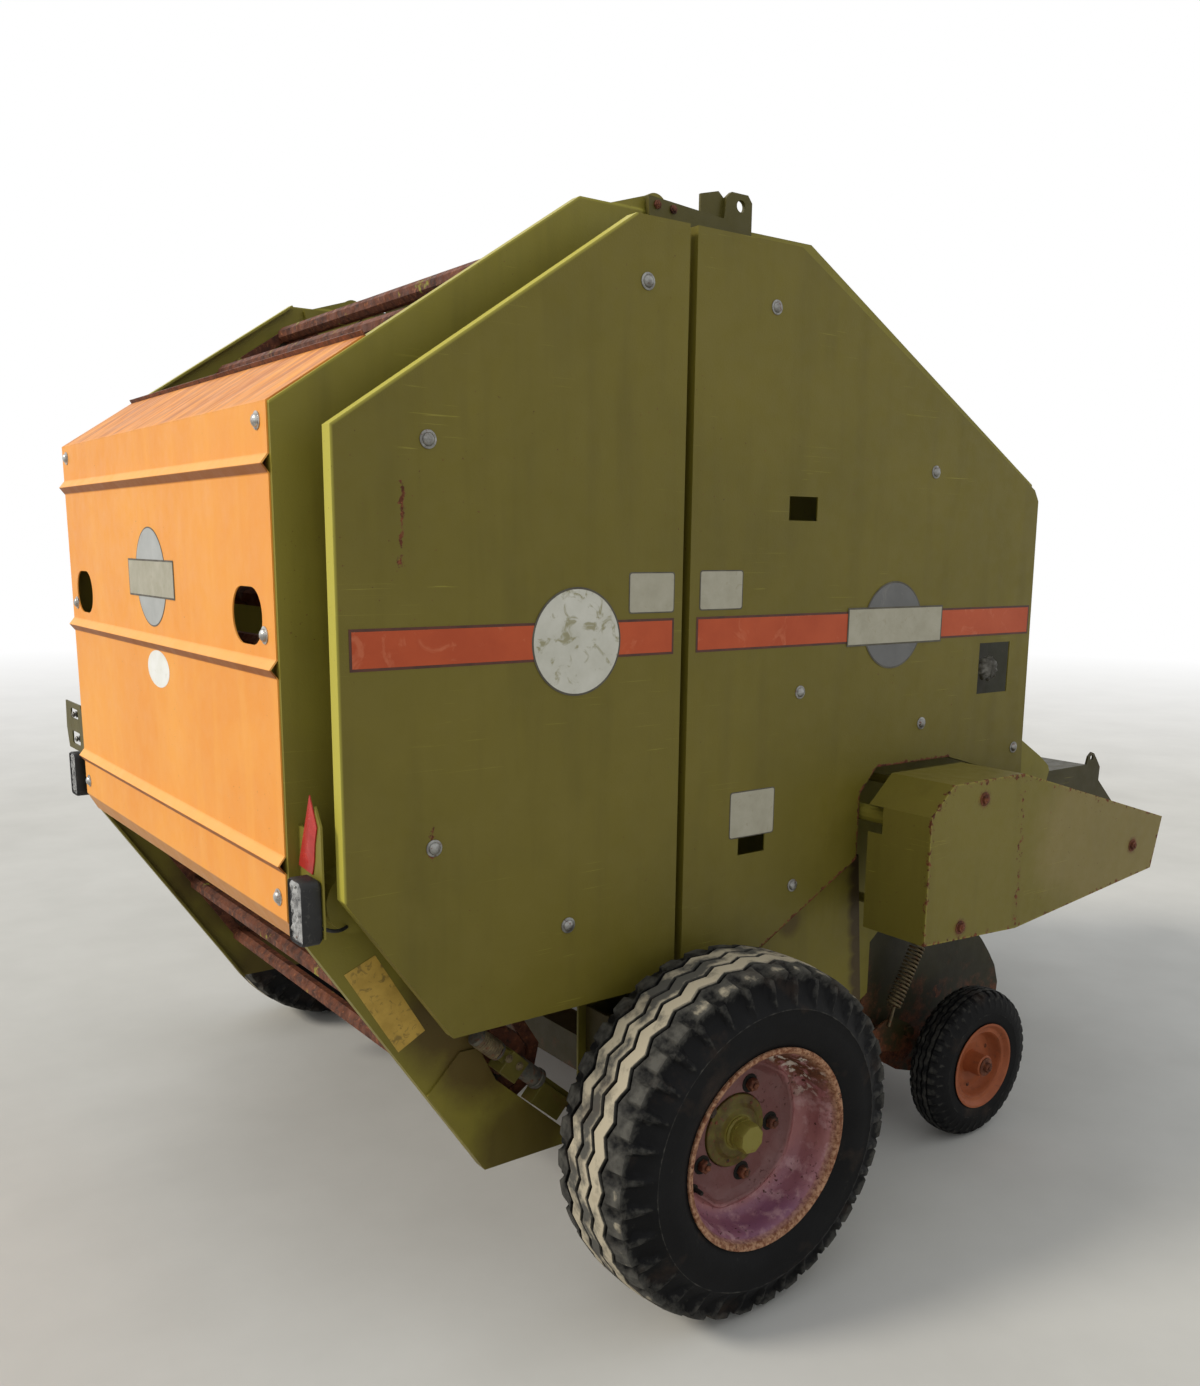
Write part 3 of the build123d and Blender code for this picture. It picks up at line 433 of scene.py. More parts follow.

# its main and other tones are lighter than the cover paint: painted light; the brown blotches low down are
# painted shade under the rear cover
sidePlateLook = {
    "main": (138, 128, 47), "other": (127, 117, 43), "specks": 0.02, "scratch": 0.2,
    "bends": [[(-825, 1814), (-189, 2235), (-10, 2235)]], "bendReach": 5, "bendShare": 0.6,
    "stains": [
        {"at": [(-500, 650), (-420, 560)], "reach": 170, "share": 0.75, "tint": (66, 44, 24)},
        {"at": [(-250, 400), (-330, 330), (-170, 420)], "reach": 160, "share": 0.6, "tint": (62, 42, 22)},
    ],
}
paintLooks = {
    "coverPaint": {
        "specks": 0.012, "scratch": 0.22,
        # the rear lip gets a painted highlight
        "lip": {"tint": (166, 156, 56), "behind": (1.2, 0.2), "to": (-140, -100), "from": (900, 970)},
        "halos": rearStuds + frontStuds,
        "bends": [[(-776, 960), (-775, 1771), (-150, 2187)]], "bendReach": 6, "bendShare": 0.75,
        "rustLines": [[(-645, 1680), (-652, 1540)], [(-598, 1070), (-605, 1010)],
                      [(868, 1065), (600, 1065), (545, 1005), (545, 846), (185, 655)]],
        "rustReach": 14,
    },
    "sidePlatePaint": sidePlateLook,
    # its blotches are painted shade: a near-black one round the knob behind the window, and a dark one low
    # down under the machine
    "frontPlatePaint": {
        **sidePlateLook, "bends": (), "rustBelow": (220, 550),
        "stains": [
            {"at": [(1185, 1300), (1205, 1220)], "reach": 170, "share": 0.95, "tint": (22, 24, 9)},
            {"at": [(20, 560), (120, 640), (40, 760)], "reach": 260, "share": 0.9, "tint": (34, 29, 16)},
        ],
    },
    # darker than the other olive paint: painted shade
    "framePaint": {
        "main": (86, 79, 31), "other": (77, 71, 28), "specks": 0.03, "rustBelow": (200, 550), "runs": 0.4,
    },
    # much darker again: painted shade, as under the drive guard
    "pickupPaint": {
        "main": (45, 42, 20), "other": (39, 36, 18), "grime": (36, 32, 17), "dust": (66, 61, 32),
        "worn": (96, 90, 46), "specks": 0.04, "rustBelow": (200, 550), "runs": 0.5, "scratch": 0.2,
        "halos": [(690, 610), (700, 480), (720, 360)], "haloReach": 160,
    },
    # darker: painted shade on the hood
    "hoodPaint": {
        "main": (66, 61, 27), "other": (59, 54, 24), "grime": (52, 47, 20), "dust": (80, 74, 42),
        "specks": 0.03, "runs": 0.4, "scratch": 0.2,
    },
    "axlePaint": {
        "main": (133, 121, 40), "other": (121, 110, 37), "specks": 0.03, "rustBelow": (200, 500), "runs": 0.4,
        "stains": [
            {"at": [(-45, 390), (-150, 520)], "reach": 170, "share": 0.88, "tint": (38, 31, 18)},
            # dirt all along the front edge of the axle plates
            {"at": [(602 + (830 - z) * 0.09, z) for z in range(470, 840, 45)], "reach": 50, "share": 0.85,
             "tint": (58, 40, 23)},
            {"at": [(375, 706), (-120, 585)], "reach": 50, "share": 0.6, "tint": (70, 48, 26)},
        ],
    },
    "guardPaint": {
        "main": (122, 111, 44), "other": (112, 102, 38), "specks": 0.03, "scratch": 0.35, "faceY": guardY,
        "bends": [guardFace], "bendReach": 5, "bendShare": 0.2,
        "rustLines": [guardFace, guardSeam], "rustReach": 30, "rustShare": 0.30,
        "halos": guardBolts, "haloReach": 38,
        # a paler patch beyond the seam: painted light on that side of the fold
        "stains": [{"at": [(1130, 880), (1210, 850), (1370, 810)], "reach": 260, "share": 0.4,
                    "tint": (148, 130, 88)}],
    },
}
for paintName, paintLook in paintLooks.items():
    oldPaint(paintName, paintLook)
print("paint made")

# Orange paint of the rear panel, with painted shadow under its ribs, painted highlight on their crests, and
# rust streaks on the sloping top

panelLook = {
    "main": (244, 166, 72), "other": (238, 156, 66), "fresh": (250, 184, 92), "crest": (255, 196, 116),
    "dirt": (128, 72, 34), "streaks": (184, 108, 58), "paleStreaks": (222, 160, 116), "lower": (176, 122, 70),
    "ribs": (1695.5, 1343.5, 988.5),      # height of each rib's lower edge
    "under": (0, 2, 15, 17),              # heights over it with painted shadow, and with a painted highlight
    "over": (16, 18, 30, 36),
    "proud": (-0.4, -1.5),                # where a rib leaves the sheet
    "slopeFrom": (1812, 1822), "lipFrom": (1935.2, 1937.5), "lowerTo": (900, 895),
}
panelPatterns = {
    "fresh": dict(size=12, low=0.5, high=0.75, end=0.35, detail=3, stretch=(1, 1, 0.15)),
    "streaks": dict(size=26, low=0.36, high=0.62, end=0.85, detail=5, stretch=(0.16, 1, 0.16), warp=0.3),
    "paleStreaks": dict(size=40, low=0.56, high=0.7, end=0.55, detail=5, stretch=(0.2, 1, 0.2)),
    "specks": dict(size=160, low=0.71, high=0.75, detail=3),
    "speckled": dict(size=4, low=0.48, high=0.6, detail=2),
}


def panelPaint(look):
    finish = Finish("panelPaint")
    seen = finish.patterns(panelPatterns)
    finish.mottle(look, 2.5, warp=0.5)
    finish.coat(seen["fresh"], look["fresh"])
    proud = finish.span(finish.ahead, *(panelX + off for off in look["proud"]))
    # painted shadow on each rib's lower edge, and a painted highlight on its crest
    for rib in look["ribs"]:
        under, over = [finish.band(*(rib + up for up in look[part])) for part in ("under", "over")]
        finish.coat(finish.times(under, proud, 0.85), look["dirt"])
        finish.coat(finish.times(over, 0.5), look["crest"])
    slope = finish.span(finish.z, *look["slopeFrom"])
    for streaks in ("streaks", "paleStreaks"):
        finish.coat(finish.times(slope, seen[streaks]), look[streaks])
    finish.coat(finish.span(finish.z, *look["lipFrom"]), rustColour(finish))
    finish.coat(finish.times(finish.span(finish.z, *look["lowerTo"]), 0.75), look["lower"])
    finish.coat(finish.times(seen["specks"], seen["speckled"]), rustTints["main"])
    finish.bump(finish.noise(220, 2), 0.5, 0.4)
    finish.done(finish.sheen(24, 0.42, 0.6), shine=0.28)


panelPaint(panelLook)

# Bare and rusty steel

rustySteels = {
    "rustySteel": {},
    "slatRust": {"paint": (150, 146, 56), "paintFrom": 0.63, "size": 30, "gloss": 0.5},
    "darkRust": {"paint": (52, 40, 30), "paintFrom": 0.5, "size": 25, "metal": 0.15},
}
wornSteels = {
    "boltSteel": {"main": (150, 150, 146), "other": (118, 116, 112), "rust": 0.03},
    "chromeSteel": {"main": (196, 196, 192), "other": (150, 148, 144), "gloss": 0.2, "rust": 0.05},
    "rodSteel": {"main": (186, 186, 186), "other": (160, 160, 160), "gloss": 0.15, "metal": 0.95},
    "castSteel": {"main": (70, 68, 62), "other": (92, 88, 76), "gloss": 0.55, "rust": 0.1, "metal": 0.3},
    "latchSteel": {"main": (112, 98, 68), "other": (86, 73, 50), "gloss": 0.5, "rust": 0.08, "metal": 0.2},
}


def rustySteel(name, look):
    look = {"size": 45.0, "paint": None, "gloss": 0.6, "metal": 0.25, **look}
    finish = Finish(name)
    finish.colour = rustColour(finish, look["size"])
    if look["paint"]:
        left = finish.pattern(16, look["paintFrom"], look["paintFrom"] + 0.05, detail=5, moved=(2, 4, 1))
        finish.coat(left, look["paint"])
    finish.bump(finish.noise(180), 1.2, 0.7)
    finish.done(finish.sheen(40, look["gloss"], 0.9), look["metal"])


def wornSteel(name, look):
    look = {"rust": 0.0, "gloss": 0.3, "metal": 0.75, **look}
    finish = Finish(name)
    finish.mottle(look, 60, 0.4, 0.6)
    rusted = finish.pattern(90, 0.62 - look["rust"], 0.70, detail=5, moved=(4, 2, 0))
    finish.coat(rusted, rustColour(finish, 90))
    finish.bump(finish.noise(240, 3), 0.6, 0.5)
    rough = finish.sheen(70, look["gloss"], look["gloss"] + 0.2)
    finish.done(roughWithRust(finish, rough, rusted), look["metal"])


for steelName, steelLook in rustySteels.items():
    rustySteel(steelName, steelLook)
for steelName, steelLook in wornSteels.items():
    wornSteel(steelName, steelLook)

# Small painted, printed or plastic pieces: a tone that varies a little, with scuffs

plainPaints = {
    "knobGrey": {"main": (168, 164, 154), "other": (120, 117, 108), "size": 70, "scuff": (84, 80, 70),
                 "gloss": 0.6},
    "stripeRed": {"main": (186, 78, 34), "other": (174, 70, 30), "size": 9, "scuff": (200, 112, 76),
                  "scuffFrom": 0.58, "gloss": 0.36},
    "stripeEdge": {"main": (70, 40, 30), "other": (92, 52, 38)},
    "blankLabel": {"main": (173, 168, 149), "other": (162, 157, 137), "size": 22, "scuff": (150, 142, 116)},
    "labelEdge": {"main": (92, 88, 74), "other": (76, 70, 58)},
    "paleDisc": {"main": (206, 204, 192), "other": (192, 190, 176), "size": 14, "scuff": (138, 132, 92),
                 "scuffFrom": 0.54, "scuffShare": 0.8, "gloss": 0.42},
    "greyDisc": {"main": (108, 108, 107), "other": (99, 99, 98), "size": 12, "scuff": (126, 124, 119),
                 "gloss": 0.42},
    "panelDisc": {"main": (176, 178, 176), "other": (164, 166, 164), "size": 12, "gloss": 0.42},
    "whiteDisc": {"main": (240, 240, 236), "other": (230, 230, 222), "size": 20, "scuff": (200, 196, 180),
                  "scuffFrom": 0.62, "gloss": 0.42},
    "yellowLabel": {"main": (200, 163, 72), "other": (180, 146, 62), "size": 26, "scuff": (112, 94, 48),
                    "scuffFrom": 0.55, "scuffShare": 0.7},
    "blackPlastic": {"main": (28, 28, 29), "other": (38, 38, 38), "scuff": (78, 76, 72), "scuffFrom": 0.58,
                     "gloss": 0.45, "grainShare": 0.5},
    # near-black: the valve's rubber, and painted shade in the recess under each wheel nut
    "darkInside": {"main": (18, 17, 14), "other": (28, 26, 20), "gloss": 0.8},
    "foilLens": {"main": (214, 214, 214), "other": (120, 120, 122), "size": 45, "scuff": (52, 52, 54),
                 "gloss": 0.12, "grain": 60, "grainShare": 0.6, "metal": 0.85},
    "redLens": {"main": (190, 52, 46), "other": (168, 40, 38), "size": 40, "scuff": (216, 104, 92),
                "gloss": 0.22},
    "gaugeRimPaint": {"main": (158, 84, 46), "other": (138, 72, 40), "size": 18, "scuff": (104, 60, 38),
                      "scuffFrom": 0.58, "gloss": 0.5},
}


def plainPaint(name, look):
    look = {"size": 30, "scuff": look["other"], "scuffFrom": 0.6, "scuffShare": 0.5, "grain": 300,
            "grainShare": 0.3, "gloss": 0.4, "metal": 0.0, **look}
    size, scuffFrom, gloss = look["size"], look["scuffFrom"], look["gloss"]
    finish = Finish(name)
    finish.mottle(look, size)
    scuffed = finish.pattern(size * 2.2, scuffFrom, scuffFrom + 0.1, detail=5, warp=1.0)
    finish.coat(finish.times(scuffed, look["scuffShare"]), look["scuff"])
    finish.bump(finish.noise(look["grain"], 2), 0.4, look["grainShare"])
    finish.done(finish.sheen(size, gloss, gloss + 0.15), look["metal"], 0.35)


for plainName, plainLook in plainPaints.items():
    plainPaint(plainName, plainLook)

# Tyre rubber: the tread mesh carries how much each point rubs the road, in its attribute rubbed

rubberLook = {
    "main": (13, 13, 14), "other": (19, 19, 20), "soil": (70, 56, 46),
    "rubbed": [
        # tint, share, the values between which it sets in, and how uneven it is
        ((92, 90, 84), 0.85, (0.24, 0.72), 0.9, dict(size=55, detail=6)),
        ((184, 173, 150), 0.95, (0.74, 0.92), 1.3, dict(size=13, detail=5, moved=(0, 3, 0))),
    ],
}


def tyreRubber(look):
    finish = Finish("tyreRubber")
    node = finish.tree.nodes.new("ShaderNodeAttribute")
    node.attribute_name = "rubbed"
    rubbed = node.outputs["Fac"]
    finish.mottle(look, 10)
    for colour, share, (low, high), uneven, noise in look["rubbed"]:
        offset = finish.times(finish.maths("SUBTRACT", finish.noise(**noise), 0.5), uneven)
        finish.coat(finish.fade(finish.maths("ADD", rubbed, offset), low, high, 0, share), colour)
    finish.coat(finish.pattern(9, 0.56, 0.7, end=0.35, detail=6, moved=(6, 0, 2)), look["soil"])
    finish.bump(finish.noise(190), 0.9, 0.6)
    finish.done(finish.fade(rubbed, 0, 1, 0.6, 0.82), shine=0.12)


tyreRubber(rubberLook)

# Pink paint over rust: speckled flange, purple low in the barrel, brown and flaking white high up

rimTints = {
    "main": (150, 98, 96), "other": (134, 82, 82), "purple": (118, 74, 100), "pale": (196, 160, 160),
    "disc": (92, 60, 56), "brown": (78, 44, 20), "white": (214, 204, 190), "flange": (112, 66, 40),
    "flangePale": (168, 128, 98),
}
rimZones = {
    # the radii between which each tint sets in, and its share before and after them
    "purple": (160, 174), "pale": (150, 185, 0.15, 0.45), "disc": (160, 150, 0, 0.7), "flakes": (150, 166),
    "white": (160, 172, 0, 0.8), "flange": (195.5, 201.5),
}
rimHeights = {"low": (-50, -170), "high": (10, 110)}       # from the middle of the wheel
rimPatterns = {
    "purple": dict(size=9, low=0.3, high=0.6, start=0.4, end=0.85),
    "pale": dict(size=26, low=0.5, high=0.62, detail=6, moved=(2, 0, 5)),
    "flakes": dict(size=34, low=0.40, high=0.50, detail=6, moved=(7, 2, 0)),
    "white": dict(size=30, low=0.55, high=0.6, detail=6, moved=(1, 8, 3)),
    "flange": dict(size=120, low=0.40, high=0.60, detail=6),
    "spots": dict(size=120, low=0.6, high=0.66, moved=(3, 3, 3)),
    "spotted": dict(size=8, low=0.42, high=0.6, detail=3),
}


def rimPaint(name, centre, tints):
    finish = Finish(name)
    seen = finish.patterns(rimPatterns)
    away = finish.radius(centre)
    height = finish.maths("SUBTRACT", finish.z, centre.z)
    low, high = [finish.span(height, *rimHeights[part]) for part in ("low", "high")]
    zone = {part: finish.span(away, *limits) for part, limits in rimZones.items()}
    finish.mottle(tints, 14)
    finish.coat(finish.times(seen["purple"], low, zone["purple"]), tints["purple"])
    finish.coat(finish.times(seen["pale"], zone["pale"]), tints["pale"])
    finish.coat(zone["disc"], tints["disc"])
    flakes = finish.times(seen["flakes"], high, zone["flakes"])
    finish.coat(flakes, finish.blend(0.6, rustColour(finish, 70), tints["brown"]))
    finish.coat(finish.times(seen["white"], high, zone["white"]), tints["white"])
    finish.coat(zone["flange"], finish.blend(seen["flange"], tints["flange"], tints["flangePale"]))
    spots = finish.times(seen["spots"], seen["spotted"])
    finish.coat(spots, rustTints["dark"])
    rusty = finish.most(flakes, finish.times(zone["flange"], 0.6), spots)
    finish.bump(finish.maths("ADD", finish.noise(150), rusty), 1.2, 0.6)
    finish.done(finish.fade(rusty, 0, 1, 0.42, 0.85), shine=0.35)


hubTints = {"main": (104, 95, 36), "other": (90, 82, 32), "stain": (74, 52, 26), "cap": (132, 123, 52)}


def hubPaint(name, centre, tints):
    finish = Finish(name)
    away = finish.radius(centre)
    finish.mottle(tints, 30)
    stain = finish.pattern(26, 0.42, 0.62, detail=5, moved=(0, 5, 0))
    finish.coat(finish.times(stain, finish.span(away, 36, 45), 0.8), tints["stain"])
    finish.coat(finish.times(finish.span(away, 41, 36), 0.8), tints["cap"])
    rusted = finish.times(finish.pattern(130, 0.60, 0.66), finish.span(away, 30, 70, 0.3, 1))
    finish.coat(rusted, rustTints["main"])
    finish.bump(finish.noise(180, 3), 0.8, 0.5)
    finish.done(finish.sheen(30, 0.42, 0.62), shine=0.3)


for sideName, side in bothSides:
    wheelCentre = spot(0, side * wheelY, wheelZ)
    rimPaint(f"rimPaint_{sideName}", wheelCentre, rimTints)
    hubPaint(f"hubPaint_{sideName}", wheelCentre, hubTints)
print("finishes made:", len(finishes))


# Shapes

class Shape:
    # points and faces gathered from simple parts into one piece
    def __init__(self):
        self.points, self.faces, self.faceFinish, self.rubbed = [], [], [], []

    def add(self, points, faces, finish=0, rubbed=()):
        first = len(self.points)
        self.points += [tuple(point) for point in points]
        self.faces += [[first + i for i in face] for face in faces]
        self.faceFinish += [finish] * len(faces)
        self.rubbed += rubbed or [0.0] * len(points)
        return self

    def place(self, name, body, used, slotName=None, sharp=35.0, standsFor=()):
        # used: the finishes by name, in the order that the faces count them
        mesh = bpy.data.meshes.new(name)
        mesh.from_pydata(self.points, [], self.faces)
        for finishName in used:
            mesh.materials.append(finishes[finishName])
        mesh.polygons.foreach_set("material_index", self.faceFinish)
        if any(self.rubbed):
            mesh.attributes.new("rubbed", "FLOAT", "POINT").data.foreach_set("value", self.rubbed)
        work = bmesh.new()
        work.from_mesh(mesh)
        bmesh.ops.recalc_face_normals(work, faces=work.faces)
        work.to_mesh(mesh)
        work.free()
        mesh.shade_smooth()
        mesh.set_sharp_from_angle(angle=math.radians(sharp))
        piece = newObject(name, mesh)
        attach(piece, body)
        if standsFor:
            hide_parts(*standsFor)


def around(radius, angle):
    return radius * math.cos(angle), radius * math.sin(angle)


def ringFaces(rings, sides, closedSection=False):
    faces = []
    for i in range(rings if closedSection else rings - 1):
        for j in range(sides):
            a, b = i * sides, ((i + 1) % rings) * sides
            k = (j + 1) % sides
            faces.append([a + j, a + k, b + k, b + j])
    return faces


def capFaces(rings, sides):
    return [list(range(sides))[::-1], [(rings - 1) * sides + j for j in range(sides)]]


def frameAround(axis):
    axis = Vector(axis).normalized()
    helper = Vector((0, 0, 1)) if abs(axis.z) < 0.9 else Vector((1, 0, 0))
    first = axis.cross(helper).normalized()
    return first, axis.cross(first), axis


def spun(shape, profile, origin, axis, sides=32, finish=0, closed=False, turn=0.0, wave=None):
    # profile: pairs of radius and distance along the axis
    first, second, axis = frameAround(axis)
    points = []
    for index, (radius, along) in enumerate(profile):
        for j in range(sides):
            angle = turn + 2 * math.pi * j / sides
            a, b = around(radius * mm * (wave(index, angle) if wave else 1), angle)
            points.append(origin + axis * along * mm + first * a + second * b)
    faces = ringFaces(len(profile), sides, closed)
    if not closed:
        faces += capFaces(len(profile), sides)
    shape.add(points, faces, finish)


def tube(shape, line, radius, sides=12, finish=0):
    points = []
    across = None
    for i, point in enumerate(line):
        ahead = (line[min(i + 1, len(line) - 1)] - line[max(i - 1, 0)]).normalized()
        if across is None:
            across = frameAround(ahead)[0]
        across = (across - ahead * across.dot(ahead)).normalized()
        other = ahead.cross(across)
        for j in range(sides):
            a, b = around(radius * mm, 2 * math.pi * j / sides)
            points.append(point + across * a + other * b)
    shape.add(points, ringFaces(len(line), sides) + capFaces(len(line), sides), finish)


def slab(shape, outline, thick, finish=0):
    # a plate on an outline; thick goes from its face to the other one
    count = len(outline)
    shift = Vector(thick) * mm
    points = outline + [point + shift for point in outline]
    faces = [list(range(count)), list(range(count, 2 * count))[::-1]]
    faces += [[i, i + count, (i + 1) % count + count, (i + 1) % count] for i in range(count)]
    shape.add(points, faces, finish)


def pierced(shape, loops, thick):
    # a sheet with holes: the first loop is its outline, and the others are the holes
    flat = [point for loop in loops for point in loop]
    count = len(flat)
    shift = Vector(thick) * mm
    triangles = tessellate_polygon(loops)
    faces = [list(triangle) for triangle in triangles]
    faces += [[i + count for i in triangle][::-1] for triangle in triangles]
    first = 0
    for loop in loops:
        for i in range(len(loop)):
            a, b = first + i, first + (i + 1) % len(loop)
            faces.append([a, b, b + count, a + count])
        first += len(loop)
    shape.add(flat + [point + shift for point in flat], faces)


def roundHead(shape, point, axis, radius, height, finish=0, washer=1.35):
    thick = height * 0.22
    if washer:
        flat = radius * washer
        spun(shape, [(flat, 0), (flat, thick * 0.8), (flat * 0.94, thick)], point, axis, 24, finish)
    dome = [(radius * math.cos(a), thick + (height - thick) * math.sin(a)) for a in (0.25, 0.6, 0.95, 1.3)]
    spun(shape, [(radius, thick), *dome, (radius * 0.08, height)], point, axis, 24, finish)


def hexHead(shape, point, axis, radius, height, finish=0, washer=1.3, turn=0.2, tip=0.45):
    # hexagonal nut with a chamfer, on a washer, and with the end of its bolt
    thick = height * 0.16
    if washer:
        flat = radius * washer
        spun(shape, [(flat, 0), (flat, thick)], point, axis, 24, finish)
    nut = [(radius * 0.96, thick), (radius, thick + height * 0.08), (radius, height * 0.86),
           (radius * 0.88, height)]
    spun(shape, nut, point, axis, 6, finish, turn=turn)
    end = radius * tip
    bolt = [(end, height * 0.9), (end, height * 1.22), (end * 0.8, height * 1.3)]
    spun(shape, bolt, point, axis, 14, finish)


def box2d(x0, x1, z0, z1, corner=0):
    if not corner:
        return [(x0, z0), (x1, z0), (x1, z1), (x0, z1)]
    outline = []
    for cx, cz, start in ((x0, z0, 180), (x1, z0, 270), (x1, z1, 0), (x0, z1, 90)):
        middleX = cx + (corner if cx == x0 else -corner)
        middleZ = cz + (corner if cz == z0 else -corner)
        for step in range(4):
            x, z = around(corner, math.radians(start + step * 30))
            outline.append((middleX + x, middleZ + z))
    return outline


def ring2d(x, z, radius, count=64):
    return [(x + a, z + b) for a, b in (around(radius, 2 * math.pi * i / count) for i in range(count))]


def grown(box, by):
    x0, x1, z0, z1 = box
    return (x0 - by, x1 + by, z0 - by, z1 + by)


# Sheet metal keeps its CAD shape and gets its finish; heavier pieces also get rounded edges

nodeFinish = {
    "coverPaint": "rear_cover front_cover", "sidePlatePaint": "tailgate_plate",
    "frontPlatePaint": "front_plate", "axlePaint": "axle", "guardPaint": "drive_guard",
    "framePaint": "hinge_bracket latch_arms front_panel twine_box twine_lid drawbar front_cross_tubes"
                  " cylinder_barrel",
    "hoodPaint": "front_hood", "pickupPaint": "pickup_frame", "panelPaint": "rear_panel",
    "rustySteel": "feed_floor floor_roller pickup_bands",
    "castSteel": "gearbox jack_leg", "slatRust": "front_conveyor tailgate_conveyor",
    "darkRust": "front_shafts tailgate_shafts pickup_reel", "rodSteel": "cylinder_rod",
    "blackPlastic": "driveline",
}
roundedEdges = {
    "drawbar": 4, "gearbox": 8, "twine_box": 3, "twine_lid": 1.2, "hinge_bracket": 2, "latch_arms": 3,
    "axle": 3, "front_cross_tubes": 4, "jack_leg": 3, "front_conveyor": 3, "tailgate_conveyor": 3,
    "front_shafts": 3, "tailgate_shafts": 3, "floor_roller": 4, "driveline": 3,
}
edgeLook = {"weld": 0.02, "segments": 2, "sharperThan": 22}


def dressNode(name, node):
    kind = name.replace("_right", "").replace("_left", "")
    for finishName, kinds in nodeFinish.items():
        if kind in kinds.split():
            node.data.materials.clear()
            node.data.materials.append(finishes[finishName])
    if kind in roundedEdges:
        if "custom_normal" in node.data.attributes:
            node.data.attributes.remove(node.data.attributes["custom_normal"])
        weld = node.modifiers.new("weld", "WELD")
        weld.merge_threshold = edgeLook["weld"] * mm
        bevel = node.modifiers.new("bevel", "BEVEL")
        bevel.width = roundedEdges[kind] * mm
        bevel.segments = edgeLook["segments"]
        bevel.limit_method = "ANGLE"
        bevel.angle_limit = math.radians(edgeLook["sharperThan"])
        bevel.use_clamp_overlap = True


for nodeName, nodeObject in nodes.items():
    dressNode(nodeName, nodeObject)
print("frame dressed")


# Stripes, discs and blank labels

decalLook = {
    "proud": 0.6,                 # how far the first film stands off the sheet
    "step": 0.35,                 # and how far each one stands off the film below
    "thick": 0.3, "corner": 6,
    "border": {"stripe": 5, "disc": 4, "wideLabel": 4, "label": 2.5},
    "rear": {
        "body": "tailgate", "stripe": (-753, -40, 1364, 1437), "disc": (-280, 1398, 104),
        "discFinish": "paleDisc", "labels": [(-156, -40, 1448, 1529)],
    },
    "front": {
        "body": "frame", "stripe": (20, 1158, 1364, 1437), "disc": (630, 1402, 102),
        "discFinish": "greyDisc", "labels": [(27, 147, 1450, 1532), (129, 263, 950, 1055)],
        "wideLabel": (473, 806, 1357, 1445),
    },
}


def decals(look, end, sideName, side):
    shape = Shape()
    given, border = look[end], look["border"]

    def film(outline, layer, finish):
        y = side * (coverY + look["proud"] + look["step"] * layer)
        slab(shape, [spot(x, y, z) for x, z in outline], (0, -side * look["thick"], 0), finish)

    film(box2d(*given["stripe"]), 0, 1)
    film(box2d(*grown(given["stripe"], -border["stripe"])), 1, 0)
    x, z, radius = given["disc"]
    film(ring2d(x, z, radius), 2, 3)
    film(ring2d(x, z, radius - border["disc"]), 3, 2)
    if "wideLabel" in given:
        film(box2d(*given["wideLabel"]), 4, 3)
        film(box2d(*grown(given["wideLabel"], -border["wideLabel"])), 5, 4)
    for label in given["labels"]:
        film(box2d(*label, look["corner"]), 0, 3)
        film(box2d(*grown(label, -border["label"]), look["corner"] - 1), 1, 4)
    shape.place(f"{end}_films_{sideName}", given["body"],
                ["stripeRed", "stripeEdge", given["discFinish"], "labelEdge", "blankLabel"], "orange_paint")


panelFilmLook = {
    "thick": 0.3, "oval": (0, 1502, 108), "label": (-163, 163, 1458, 1540), "disc": (-17, 1302, 77, 41),
}


def panelFilms(look):
    shape = Shape()

    def sheet(outline, level, finish):
        slab(shape, [spot(panelX - level, y, z) for y, z in outline], (look["thick"], 0, 0), finish)

    y, z, radius = look["oval"]
    sheet(ring2d(y, z, radius), 0.5, 1)
    sheet(ring2d(y, z, radius - 3), 0.8, 0)
    sheet(box2d(*look["label"]), 1.2, 1)
    sheet(box2d(*grown(look["label"], -4)), 1.5, 2)
    y, z, wide, tall = look["disc"]
    sheet([(a, z + (b - z) * tall / wide) for a, b in ring2d(y, z, wide)], 0.5, 3)
    used = ["panelDisc", "labelEdge", "blankLabel", "whiteDisc"]
    shape.place("panel_films", "tailgate", used, "worn_steel")


edgeLabelLook = {"corners": [(-725, 778), (-660, 805), (-556, 627), (-616, 595)], "proud": 1, "thick": 0.4}


def edgeLabel(look, sideName, side):
    # the blank yellow label on the lower edge of the tailgate plate
    shape = Shape()
    y = side * (plateY + look["proud"])
    slab(shape, [spot(x, y, z) for x, z in look["corners"]], (0, -side * look["thick"], 0))
    shape.place(f"edge_label_{sideName}", "tailgate", ["yellowLabel"])


for sideName, side in bothSides:
    decals(decalLook, "rear", sideName, side)
    decals(decalLook, "front", sideName, side)
    edgeLabel(edgeLabelLook, sideName, side)
panelFilms(panelFilmLook)
print("films made")


# Bolts: radius and height of each kind's head

boltLook = {
    "rear": (12, 9), "front": (11, 8), "guard": (11, 8), "panel": (12, 10), "hinge": (9, 8),
    "panelAt": [(665, 1785), (660, 1418), (672, 938)], "hingeAt": [(-8, 2246), (33, 2243)], "hingeY": 724,
}


def bolts(look, sideName, side):
    out = (0, side, 0)
    rear, front, bracket = Shape(), Shape(), Shape()
    for x, z in rearStuds:
        roundHead(rear, spot(x, side * coverY, z), out, *look["rear"])
    for x, z in frontStuds + ([rightOnlyStud] if side < 0 else []):
        roundHead(front, spot(x, side * coverY, z), out, *look["front"])
    for x, z in look["hingeAt"]:
        hexHead(bracket, spot(x, side * look["hingeY"], z), out, *look["hinge"], tip=0.55)
    rear.place(f"rear_studs_{sideName}", "tailgate", ["boltSteel"], "worn_steel")
    front.place(f"front_studs_{sideName}", "frame", ["boltSteel"], "worn_steel")
    bracket.place(f"hinge_bolts_{sideName}", "frame", ["rustySteel"], "rusty_steel")


